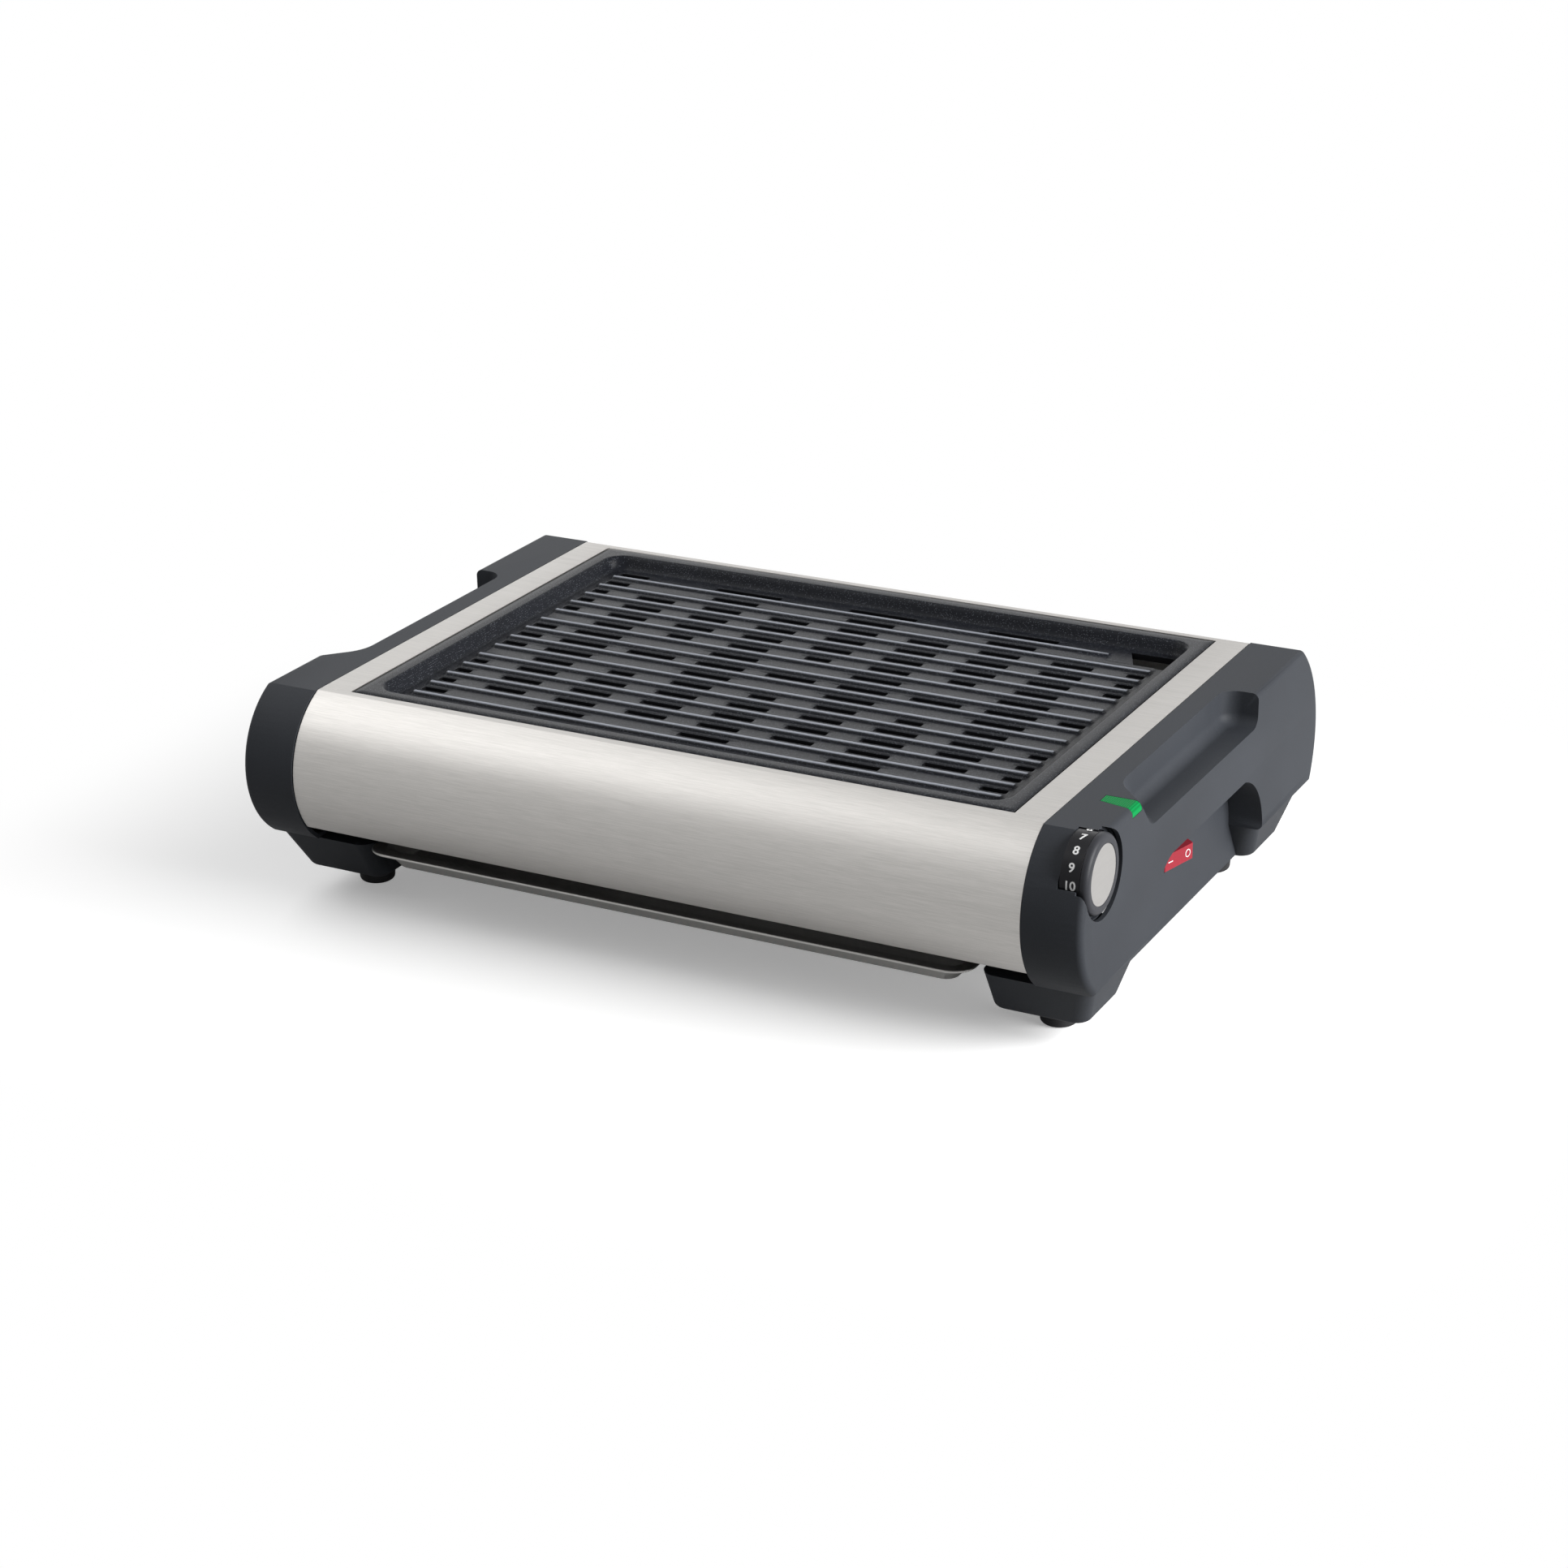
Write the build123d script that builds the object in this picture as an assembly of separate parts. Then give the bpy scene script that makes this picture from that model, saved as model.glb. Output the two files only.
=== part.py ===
"""Electric indoor grill: a slotted cast plate in a steel cover between two plastic end caps.

Millimetres, +X to the right, +Z up, the front is -Y. Every piece is modelled with Y counted from the
front edge of the flat deck and is moved to the middle of the object when it is written.
"""

import os
from math import hypot, sqrt

from build123d import *

# Overall body
WIDTH = 521.0
HEIGHT = 131.5
DECK_DEPTH = 295.0
CAP_THICKNESS = 34.1
CAP_JOINT = 0.4
CAP_HALF = WIDTH / 2
CAP_INNER = CAP_HALF - CAP_THICKNESS
COVER_HALF = CAP_INNER - CAP_JOINT

# Side outline: one arc in front of the deck and one behind it
FRONT_FLAT = 5.6
FRONT_ARC_Y = 16.4
FRONT_ARC_Z = 0.645 * HEIGHT
REAR_ARC_BACK = 42.9
REAR_ARC_Z = 0.575 * HEIGHT
REAR_ARC_Y = DECK_DEPTH - REAR_ARC_BACK
CAP_PROUD = 0.8
CAP_EDGE_R = 4.0
CAP_LOW_Z = 0.323 * HEIGHT
CAP_WALL = 2.5

# Steel cover
SHEET = 1.0
COVER_LOW_Z = 0.409 * HEIGHT
COVER_LIP = 6.0

# Grill plate
STRIP_WIDTH = 19.0
REAR_RAIL = 4.0
PLATE_CLEARANCE = 1.0
PLATE_WIDTH = 2 * (COVER_HALF - STRIP_WIDTH - PLATE_CLEARANCE)
PLATE_DEPTH = DECK_DEPTH - REAR_RAIL - 2 * PLATE_CLEARANCE
PLATE_CORNER_R = 2.0
RIM_WIDTH = 9.5
RIM_THICKNESS = 4.5
BASIN_DEPTH = 7.5
BASIN_SLOPE = 3.5
BASIN_CORNER_R = 12.0
FLOOR_THICKNESS = 4.0
RIDGE_HEIGHT = 1.4
RIDGE_BASE = 4.6
RIDGE_TOP = 3.4
GUTTER = 10.2
GUTTER_DROP = 0.4
ROWS = 15
END_LAND = 12.4
SLOT_WIDTH = 4.0
# Half length of the slots in shares of the column pitch, by rows from the middle: odd columns, even columns
SLOT_HALVES = {
    0: (0.34, 0.34),
    1: (0.34, 0.0),
    2: (0.27, 0.18),
    3: (0.28, 0.28),
    4: (0.28, 0.28),
    5: (0.28, 0.28),
    6: (0.0, 0.33),
    7: (0.0, 0.49),
}
# Length of the slots at the plate's ends in the same shares, by rows
END_SLOT_INSET = 1.5
END_SLOTS = {3: 0.23, 4: 0.23, 5: 0.23, 6: 0.32, 7: 0.43}
MIDDLE_END_SLOT = 0.34
DRAIN_WIDTH = 30.0
DRAIN_DEPTH = 20.0
DRAIN_CUT = 9.0
DRAIN_REAR = 10.0

# Ledge that carries the plate
LEDGE_WIDTH = 5.0
SEAT_GAP = 0.3

# Heat liner and side plates
LINER_SHEET = 0.8
LINER_MARGIN = 8.0
LINER_TOP_GAP = 1.3
LINER_LOW_Z = 0.4715 * HEIGHT
SIDE_SHEET = 1.5
SIDE_INSET = 1.0
SIDE_PLATE_LOW_Z = COVER_LOW_Z + 2.2

# Heating element
RUNS = 8
ELEMENT_R = 3.25
ELEMENT_DROP = 1.05
BEND_SLACK = 0.5
LOOP_MARGIN = 18.5
LOOP_INNER = 26.0
LINK_INSET = 5.5
LINK_BEND_R = 16.0
LINK_Y = 44.0
SUPPORT_SHARE = 0.6
SUPPORT_WIDTH = 10.0
SUPPORT_THICKNESS = 1.8
INSULATOR_R = 4.5
INSULATOR_LENGTH = 3.5
PIN_R = 1.2
PIN_LENGTH = 5.0
FEED_CLEARANCE = 0.75

# Handle: bar, scoop above it and finger recess below it
HANDLE_DEPTH = 20.5
SCOOP_DEPTH = 19.5
BAR_TOP_Z = HEIGHT - SCOOP_DEPTH
BAR_LOW_Z = 0.639 * HEIGHT
SCOOP_FRONT = 40.0
SCOOP_SLANT = 22.0
SCOOP_DROP = 17.0
SCOOP_REAR = DECK_DEPTH - 77.5
SCOOP_FRONT_R = 24.0
SCOOP_CORNER_R = 11.0
SCOOP_FLOOR_R = 7.0
RECESS_FRONT = 57.0
RECESS_REAR = DECK_DEPTH - 63.0
RECESS_SHOULDER = 32.0

# Plinth and foot blocks under the caps
BLOCK_LOW_Z = 0.125 * HEIGHT
BLOCK_INNER = CAP_HALF - 67.5
BLOCK_OUTER = CAP_HALF - 12.5
BLOCK_FRONT_LOW = 1.4
BLOCK_FRONT_LENGTH = 48.2
BLOCK_REAR_LOW = DECK_DEPTH - 47.5
BLOCK_FLARE_END = 15.0
BLOCK_FLARE_SIDE = 8.5
BLOCK_CORNER_R = 9.0
BLOCK_EDGE_R = 3.5
PLINTH_LOW_Z = BLOCK_LOW_Z + 1.6
PLINTH_HALF = CAP_HALF - HANDLE_DEPTH

# Rubber feet
FOOT_X = CAP_HALF - 40.5
FOOT_FRONT_Y = 33.0
FOOT_REAR_Y = DECK_DEPTH - 33.0
FOOT_R = 11.5
FOOT_TAPER = 1.2
FOOT_EDGE_R = 2.5
FOOT_SCREW_R = 1.9
FOOT_SCREW_HEAD_R = 3.6
FOOT_SCREW_HEAD = 2.6
FOOT_SCREW_RECESS = 0.3 * BLOCK_LOW_Z

# Drip tray and its rails
TRAY_RIM_HALF = BLOCK_INNER - 3.0
TRAY_RIM_Z = CAP_LOW_Z + 1.9
TRAY_FRONT = -22.6
TRAY_LENGTH = DECK_DEPTH + 11.0
TRAY_SHEET = 1.3
TRAY_RIM = 6.5
TRAY_DEPTH = 12.0
TRAY_SLOPE = 7.0
TRAY_CORNER_R = 14.0
RAIL_SHEET = 1.2
RAIL_WIDTH = 6.0
RAIL_HEIGHT = 9.0
RAIL_START = 4.0
RAIL_LENGTH = DECK_DEPTH - 5.0

# Dial, in the right cap
DIAL_Y = -7.3
DIAL_Z = HEIGHT - 22.3
DIAL_R = 22.1
DIAL_FACE_X = CAP_HALF - 0.2
DIAL_LENGTH = 15.5
DIAL_FILLET = 3.0
DIAL_WELL_R = 24.4
DIAL_WINDOW_GAP = 0.6
DIAL_WINDOW_DROP = 1.8
DIAL_END_GAP = 0.7
DIAL_WELL_DEPTH = 6.0
NUMBER_RING_LENGTH = 11.0
NUMBER_RING_WALL = 2.2
INSERT_R = 16.6
INSERT_THICKNESS = 1.4
DIAL_HUB_R = 6.0
DIAL_SKIRT_WALL = 2.0

# Thermostat
SHAFT_R = 3.0
SHAFT_CLEARANCE = 0.05
THERMOSTAT_R = 13.0
THERMOSTAT_LENGTH = 12.0
THERMOSTAT_BUSH_R = 5.0
THERMOSTAT_BUSH = 3.5
BRACKET_SIDE = 21.0
BRACKET_SHEET = 2.0
PROBE_R = 2.5
PROBE_LENGTH = 70.0
CAPILLARY_R = 1.0
CAPILLARY_BEND_R = 7.0
CAPILLARY_INSET = 6.0
CAPILLARY_DROP = 16.0

# Rocker switch on the recess wall of the right cap
SWITCH_Y = (RECESS_FRONT + RECESS_REAR) / 2 + 2.0
SWITCH_Z = 0.432 * HEIGHT
ROCKER_LENGTH = 26.0
ROCKER_HEIGHT = 9.5
ROCKER_FACE = 9.8
ROCKER_BACK = 1.0
ROCKER_PIVOT_INSET = 6.0
ROCKER_TILT = 14.0
ROCKER_PIN_R = 1.2
ROCKER_GAP = 0.4
SWITCH_WALL = 2.4
SWITCH_DEPTH = 9.5

# Pilot light over the top edge of the right cap
LENS_INNER_X = CAP_HALF - 20.2
LENS_INNER_FRONT = 34.0
LENS_OUTER_FRONT = 29.6
LENS_REAR = 42.4
LENS_THICKNESS = 2.2
LENS_DROP = 5.0
LENS_GAP = 0.15
LAMP_R = 3.2
LAMP_LENGTH = 12.0
LAMP_INSET = 6.5

# Cap screws, as places in the side view: Y, Z
CAP_SCREWS = (
    (20.0, HEIGHT - 10.5),
    (12.0, 0.563 * HEIGHT),
    (DECK_DEPTH - 33.0, HEIGHT - 13.5),
    (DECK_DEPTH - 20.0, 0.563 * HEIGHT),
)
CAP_BOSS_R = 4.0
CAP_SCREW_R = 1.5
CAP_SCREW_HEAD_R = 3.1
CAP_SCREW_HEAD = 1.9
CAP_SCREW_LENGTH = 12.0
SCREW_CLEARANCE = 0.1

# Terminal block and cord inlet, in the right cap
TERMINAL_Y = DECK_DEPTH - 33.0
TERMINAL_Z = 0.7 * HEIGHT
TERMINAL_SIZE = (11.5, 22.0, 13.0)
INLET_INSET = 16.0
INLET_Z = 0.5475 * HEIGHT
INLET_R = 6.0
INLET_BORE_R = 3.8
INLET_FLANGE_R = 9.0
INLET_FLANGE = 2.5
INLET_BOSS_R = 11.0
INLET_BOSS_LENGTH = 18.0

# Values worked out from the sizes above
COVER_FRONT_R = hypot(FRONT_ARC_Y + FRONT_FLAT, HEIGHT - FRONT_ARC_Z)
COVER_REAR_R = hypot(REAR_ARC_BACK, HEIGHT - REAR_ARC_Z)
FRONT_MOST = FRONT_ARC_Y - COVER_FRONT_R - CAP_PROUD
INLET_FACE_Y = REAR_ARC_Y + COVER_REAR_R + CAP_PROUD - 1.5
REAR_MOST = INLET_FACE_Y + INLET_FLANGE
CENTRE_Y = (FRONT_MOST + REAR_MOST) / 2
PLATE_FRONT = PLATE_CLEARANCE
PLATE_MID_Y = PLATE_FRONT + PLATE_DEPTH / 2
OPENING_HALF = PLATE_WIDTH / 2 + PLATE_CLEARANCE
OPENING_REAR = PLATE_FRONT + PLATE_DEPTH + PLATE_CLEARANCE
BASIN_HALF_X = PLATE_WIDTH / 2 - RIM_WIDTH
BASIN_HALF_Y = PLATE_DEPTH / 2 - RIM_WIDTH
LOOP_OUTER = BASIN_HALF_Y - LOOP_MARGIN
FLOOR_Z = HEIGHT - BASIN_DEPTH
PLATE_LOW_Z = FLOOR_Z - FLOOR_THICKNESS
RIDGE_HALF = BASIN_HALF_X - GUTTER
COLUMN_PITCH = 2 * RIDGE_HALF / RUNS
ROW_PITCH = 2 * (BASIN_HALF_Y - END_LAND) / (ROWS - 1)
LEDGE_TOP_Z = HEIGHT - RIM_THICKNESS - SEAT_GAP
LINER_HALF_X = BASIN_HALF_X + LINER_SHEET + 0.7
LINER_HALF_Y = BASIN_HALF_Y + LINER_SHEET + 0.7
LINER_TOP_Z = PLATE_LOW_Z - LINER_TOP_GAP
SIDE_OUTER = COVER_HALF - SIDE_INSET
SIDE_INNER = SIDE_OUTER - SIDE_SHEET
ELEMENT_Z = PLATE_LOW_Z - ELEMENT_DROP - ELEMENT_R
FEED_END = COVER_HALF + 2.0
SUPPORT_TOP_Z = ELEMENT_Z - ELEMENT_R - SEAT_GAP
CAVITY_OUTER = CAP_HALF - CAP_WALL
RECESS_WALL_IN = PLINTH_HALF - CAP_WALL
ROCKER_PIVOT_X = PLINTH_HALF - ROCKER_PIVOT_INSET
ROCKER_R = hypot(ROCKER_FACE, ROCKER_LENGTH / 2)
DIAL_BACK = DIAL_FACE_X - DIAL_LENGTH


def box(x0, x1, y0, y1, z0, z1):
    """Box between two corners."""
    centre = Pos((x0 + x1) / 2, (y0 + y1) / 2, (z0 + z1) / 2)
    return centre * Box(abs(x1 - x0), abs(y1 - y0), abs(z1 - z0))


def rod_x(y, z, radius, x0, x1):
    """Cylinder along X between two X values."""
    return Pos((x0 + x1) / 2, y, z) * Rot(0, 90, 0) * Cylinder(radius, abs(x1 - x0))


def rod_y(x, z, radius, y0, y1):
    """Cylinder along Y between two Y values."""
    return Pos(x, (y0 + y1) / 2, z) * Rot(90, 0, 0) * Cylinder(radius, abs(y1 - y0))


def rod_z(x, y, radius, z0, z1):
    """Cylinder along Z between two Z values."""
    return Pos(x, y, (z0 + z1) / 2) * Cylinder(radius, abs(z1 - z0))


def rounded_slab(half_x, half_y, radius, z0, z1, centre_y=0.0):
    """Slab with rounded vertical corners."""
    return Pos(0, centre_y, z0) * extrude(RectangleRounded(2 * half_x, 2 * half_y, radius), z1 - z0)


def side_outline(grow, low_z):
    """Side view of the body: the deck line closed by the front and rear arcs, grown outwards."""
    front_r = COVER_FRONT_R + grow
    rear_r = COVER_REAR_R + grow
    top = HEIGHT + min(grow, 0.0)

    def front(z):
        return FRONT_ARC_Y - sqrt(front_r**2 - (z - FRONT_ARC_Z) ** 2)

    def rear(z):
        return REAR_ARC_Y + sqrt(rear_r**2 - (z - REAR_ARC_Z) ** 2)

    edges = [
        ThreePointArc((front(top), top), (FRONT_ARC_Y - front_r, FRONT_ARC_Z), (front(low_z), low_z)),
        Line((front(low_z), low_z), (rear(low_z), low_z)),
        ThreePointArc((rear(low_z), low_z), (REAR_ARC_Y + rear_r, REAR_ARC_Z), (rear(top), top)),
        Line((rear(top), top), (front(top), top)),
    ]
    return make_face(edges)


def outline_slab(grow, low_z, x0, x1):
    """Side outline as a slab between two X values."""
    return Pos(x0, 0, 0) * extrude(Plane.YZ * side_outline(grow, low_z), x1 - x0)


def steel_cover():
    """Bent cover: front, deck strips, rear rail and back, with a ledge round the plate opening."""
    outer = outline_slab(0.0, COVER_LOW_Z, -COVER_HALF, COVER_HALF)
    inner = outline_slab(-SHEET, COVER_LOW_Z - SHEET, -COVER_HALF, COVER_HALF)
    shell = outer - inner
    lips = outer & box(-COVER_HALF, COVER_HALF, -WIDTH, WIDTH, COVER_LOW_Z, COVER_LOW_Z + SHEET)
    front_lip_end = FRONT_ARC_Y - COVER_FRONT_R + COVER_LIP + 2 * SHEET + 8.0
    rear_lip_end = REAR_ARC_Y + COVER_REAR_R - COVER_LIP - 2 * SHEET - 8.0
    lips -= box(-COVER_HALF, COVER_HALF, front_lip_end, rear_lip_end, 0, HEIGHT)
    collar_low = LEDGE_TOP_Z - SHEET
    collar = box(
        -OPENING_HALF - SHEET, OPENING_HALF + SHEET, -SHEET, OPENING_REAR + SHEET, collar_low, HEIGHT - SHEET / 2
    )
    collar &= outer
    well = box(-OPENING_HALF, OPENING_HALF, 0, OPENING_REAR, LEDGE_TOP_Z, HEIGHT + SHEET)
    drop = box(
        -OPENING_HALF + LEDGE_WIDTH,
        OPENING_HALF - LEDGE_WIDTH,
        LEDGE_WIDTH,
        OPENING_REAR - LEDGE_WIDTH,
        collar_low - SHEET,
        HEIGHT,
    )
    return shell + lips + collar - well - drop


def cover_part(y0, y1):
    """Part of the cover between two joint lines."""
    return steel_cover() & box(-WIDTH, WIDTH, y0, y1, 0, 2 * HEIGHT)


def slot(x0, x1, y):
    """Cutter of one drain slot of the plate, with rounded ends."""
    return Pos((x0 + x1) / 2, y, PLATE_LOW_Z - 1) * extrude(SlotOverall(x1 - x0, SLOT_WIDTH), FLOOR_THICKNESS + 2)


def slot_spans(row):
    """X spans of the slots in a row, which is counted from the middle row."""
    halves = SLOT_HALVES[min(abs(row), max(SLOT_HALVES))]
    spans = []
    for column in range(-(RUNS // 2) + 1, RUNS // 2):
        half = halves[(column + 1) % 2] * COLUMN_PITCH
        if half:
            spans.append((column * COLUMN_PITCH - half, column * COLUMN_PITCH + half))
    end = RIDGE_HALF - END_SLOT_INSET
    if abs(row) in END_SLOTS:
        length = END_SLOTS[abs(row)] * COLUMN_PITCH
        spans.append((-end, -end + length))
        if row < max(END_SLOTS) - 1:
            spans.append((end - length, end))
    if abs(row) < 2:
        spans.append((-end, -end + MIDDLE_END_SLOT * COLUMN_PITCH))
    if row == 0:
        spans.append((end - MIDDLE_END_SLOT * COLUMN_PITCH, end))
    return spans


def drain_outline():
    """Plan of the drain hole in the rear right corner of the gutter."""
    right = BASIN_HALF_X - BASIN_SLOPE - 1.0
    rear = PLATE_MID_Y + BASIN_HALF_Y - DRAIN_REAR
    left = right - DRAIN_WIDTH
    front = rear - DRAIN_DEPTH
    points = [(left, rear), (left + DRAIN_CUT, front), (right, front), (right, rear)]
    return make_face(Polyline(*points, close=True))


def grill_plate():
    """Cast plate: raised rim, gutter, ridges along X, rows of slots and a drain hole."""
    rim = rounded_slab(
        PLATE_WIDTH / 2, PLATE_DEPTH / 2, PLATE_CORNER_R, HEIGHT - RIM_THICKNESS, HEIGHT, PLATE_MID_Y
    )
    tub = rounded_slab(BASIN_HALF_X, BASIN_HALF_Y, BASIN_CORNER_R, PLATE_LOW_Z, HEIGHT - 1, PLATE_MID_Y)
    top_face = Pos(0, PLATE_MID_Y, HEIGHT) * RectangleRounded(2 * BASIN_HALF_X, 2 * BASIN_HALF_Y, BASIN_CORNER_R)
    floor_face = Pos(0, PLATE_MID_Y, FLOOR_Z - GUTTER_DROP) * RectangleRounded(
        2 * (BASIN_HALF_X - BASIN_SLOPE), 2 * (BASIN_HALF_Y - BASIN_SLOPE), BASIN_CORNER_R - BASIN_SLOPE
    )
    plate = rim + tub - loft([floor_face, top_face])
    pad_half = (ROWS / 2 - 1) * ROW_PITCH + RIDGE_BASE / 2
    pad_y0, pad_y1 = PLATE_MID_Y - pad_half, PLATE_MID_Y + pad_half
    pad = box(-RIDGE_HALF, RIDGE_HALF, pad_y0, pad_y1, FLOOR_Z - GUTTER_DROP, FLOOR_Z)
    short_end = BASIN_HALF_X - BASIN_SLOPE - DRAIN_WIDTH - GUTTER
    plate += pad - box(short_end, RIDGE_HALF + 1, pad_y1 - ROW_PITCH, pad_y1 + 1, 0, HEIGHT)
    section = Trapezoid(RIDGE_BASE, RIDGE_HEIGHT, ridge_angle(), align=(Align.CENTER, Align.MIN))
    cutters = []
    for row in range(-(ROWS // 2), ROWS // 2 + 1):
        y = PLATE_MID_Y + row * ROW_PITCH
        cutters += [slot(x0, x1, y) for x0, x1 in slot_spans(row)]
        if row == ROWS // 2:
            continue
        right = RIDGE_HALF if row < ROWS // 2 - 1 else short_end
        ridge = extrude(Plane.YZ * section, right + RIDGE_HALF)
        plate += Pos(-RIDGE_HALF, y + ROW_PITCH / 2, FLOOR_Z) * ridge
    drain = Pos(0, 0, PLATE_LOW_Z - 1) * extrude(drain_outline(), FLOOR_THICKNESS + 2)
    return plate - cutters - drain


def ridge_angle():
    """Base angle of the ridge's section, in degrees."""
    return Vector(1, 0).get_angle(Vector((RIDGE_BASE - RIDGE_TOP) / 2, RIDGE_HEIGHT))


def heat_liner():
    """Sheet box without top or bottom round the heater, with a foot flange out to the side plates."""
    walls = rounded_slab(LINER_HALF_X, LINER_HALF_Y, LINER_MARGIN, LINER_LOW_Z, LINER_TOP_Z, PLATE_MID_Y)
    flange = box(
        -SIDE_INNER,
        SIDE_INNER,
        PLATE_MID_Y - LINER_HALF_Y - LINER_MARGIN,
        PLATE_MID_Y + LINER_HALF_Y + LINER_MARGIN,
        LINER_LOW_Z,
        LINER_LOW_Z + LINER_SHEET,
    )
    hollow = rounded_slab(
        LINER_HALF_X - LINER_SHEET,
        LINER_HALF_Y - LINER_SHEET,
        LINER_MARGIN - LINER_SHEET,
        LINER_LOW_Z - 1,
        HEIGHT,
        PLATE_MID_Y,
    )
    liner = walls + flange - hollow
    for y in feed_places():
        liner -= rod_x(y, ELEMENT_Z, ELEMENT_R + FEED_CLEARANCE, BASIN_HALF_X - GUTTER, SIDE_INNER)
    return liner - rod_x(PLATE_MID_Y, ELEMENT_Z, PROBE_R + FEED_CLEARANCE, BASIN_HALF_X - GUTTER, SIDE_INNER)


def feed_places():
    """Y of the two cold ends of the heating element."""
    return (PLATE_MID_Y - LOOP_INNER, PLATE_MID_Y + LOOP_INNER)


def side_plate(side):
    """Steel plate that closes one end of the cover and carries the cap, liner and controls."""
    low, high = sorted((side * SIDE_INNER, side * SIDE_OUTER))
    plate = outline_slab(-SHEET - SEAT_GAP, SIDE_PLATE_LOW_Z, low, high)
    for y, z in CAP_SCREWS:
        plate -= rod_x(y, z, CAP_SCREW_R + SCREW_CLEARANCE, side * SIDE_INNER - side, side * CAP_HALF)
    if side > 0:
        for y in feed_places():
            plate -= rod_x(y, ELEMENT_Z, ELEMENT_R + FEED_CLEARANCE, SIDE_INNER - 1, SIDE_OUTER + 1)
        plate -= rod_x(PLATE_MID_Y, ELEMENT_Z, PROBE_R + FEED_CLEARANCE, SIDE_INNER - 1, SIDE_OUTER + 1)
    return plate


def element_route():
    """Centre line of the element: a loop under the front rows, a link on the left, a loop at the rear."""
    runs = [(RUNS / 2 - 0.5 - n) * COLUMN_PITCH for n in range(RUNS)]
    front = [(FEED_END, -LOOP_INNER), (runs[0], -LOOP_INNER)]
    for n in range(0, RUNS, 2):
        front += [(runs[n], -LOOP_OUTER), (runs[n + 1], -LOOP_OUTER)]
        if n + 2 < RUNS:
            front += [(runs[n + 1], -LOOP_INNER), (runs[n + 2], -LOOP_INNER)]
    link_x = -(LINER_HALF_X - LINER_SHEET - LINK_INSET)
    front += [(runs[-1], -LINK_Y), (link_x, -LINK_Y)]
    route = front + [(x, -y) for x, y in reversed(front)]
    radii = [COLUMN_PITCH / 2 - BEND_SLACK] * (len(front) - 3)
    radii += [LINK_BEND_R - BEND_SLACK, (runs[-1] - link_x) / 2 - BEND_SLACK]
    points = [(x, y + PLATE_MID_Y, ELEMENT_Z) for x, y in route]
    return points, radii + radii[::-1]


def heating_element():
    """Tubular heater under the unslotted lands of the plate."""
    points, radii = element_route()
    path = FilletPolyline(*points, radius=radii)
    start = Plane(origin=path @ 0, z_dir=path % 0)
    return sweep(start * Circle(ELEMENT_R), path)


def element_insulators():
    """Ceramic bead on each cold end of the element."""
    return [rod_x(y, ELEMENT_Z, INSULATOR_R, FEED_END, FEED_END + INSULATOR_LENGTH) for y in feed_places()]


def element_pins():
    """Connection pin at each cold end."""
    start = FEED_END + INSULATOR_LENGTH
    return [rod_x(y, ELEMENT_Z, PIN_R, start, start + PIN_LENGTH) for y in feed_places()]


def element_supports():
    """Two flat bars across the liner under the element."""
    half = LINER_HALF_X - LINER_SHEET
    bars = []
    for side in (-1, 1):
        y = PLATE_MID_Y + side * SUPPORT_SHARE * LOOP_OUTER
        low = SUPPORT_TOP_Z - SUPPORT_THICKNESS
        bars.append(box(-half, half, y - SUPPORT_WIDTH / 2, y + SUPPORT_WIDTH / 2, low, SUPPORT_TOP_Z))
    return bars


def scoop_plan(front, grow, z):
    """Plan of the scoop at one height, grown by a wall: slanted front, straight inner wall, square rear."""
    wall = PLINTH_HALF - grow
    outside = CAP_HALF + 5
    slope = SCOOP_SLANT / HANDLE_DEPTH
    rear = SCOOP_REAR + grow
    points = [
        (outside, front - slope * 5),
        (wall, front + slope * (HANDLE_DEPTH + grow)),
        (wall, rear),
        (outside, rear),
    ]
    plan = make_face(Polyline(*points, close=True))
    plan = fillet(plan.vertices().sort_by_distance((*points[1], 0))[0], SCOOP_FRONT_R)
    plan = fillet(plan.vertices().sort_by_distance((*points[2], 0))[0], SCOOP_CORNER_R)
    return Pos(0, 0, z) * plan


def scoop(grow):
    """Cutter of the scoop above the bar of the right cap, grown by a wall on every side."""
    front = SCOOP_FRONT - grow
    low, high = BAR_TOP_Z - grow, HEIGHT + SCOOP_DEPTH
    lean = SCOOP_DROP / SCOOP_DEPTH
    bottom = scoop_plan(front + lean * (HEIGHT - low), grow, low)
    cutter = loft([bottom, scoop_plan(front - SCOOP_DROP, grow, high)])
    floor_edges = cutter.edges().filter_by_position(Axis.Z, low - 0.01, low + 0.01)
    return fillet([e for e in floor_edges if e.center().X < CAP_HALF + 4], SCOOP_FLOOR_R)


def recess(grow):
    """Cutter of the finger recess below the bar of the right cap, grown by a wall on every side."""
    low = CAP_LOW_Z - 10
    top = BAR_LOW_Z + grow
    front = RECESS_FRONT - grow
    rear = RECESS_REAR + grow
    rise = top - CAP_LOW_Z
    lean = RECESS_SHOULDER
    edges = [
        Line((front, low), (front, CAP_LOW_Z)),
        ThreePointArc((front, CAP_LOW_Z), (front + 0.3 * lean, CAP_LOW_Z + 0.66 * rise), (front + lean, top)),
        Line((front + lean, top), (rear - lean, top)),
        ThreePointArc((rear - lean, top), (rear - 0.3 * lean, CAP_LOW_Z + 0.66 * rise), (rear, CAP_LOW_Z)),
        Line((rear, CAP_LOW_Z), (rear, low)),
        Line((rear, low), (front, low)),
    ]
    start = CAP_HALF - HANDLE_DEPTH - grow
    return Pos(start, 0, 0) * extrude(Plane.YZ * make_face(edges), HANDLE_DEPTH + grow + 5)


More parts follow.
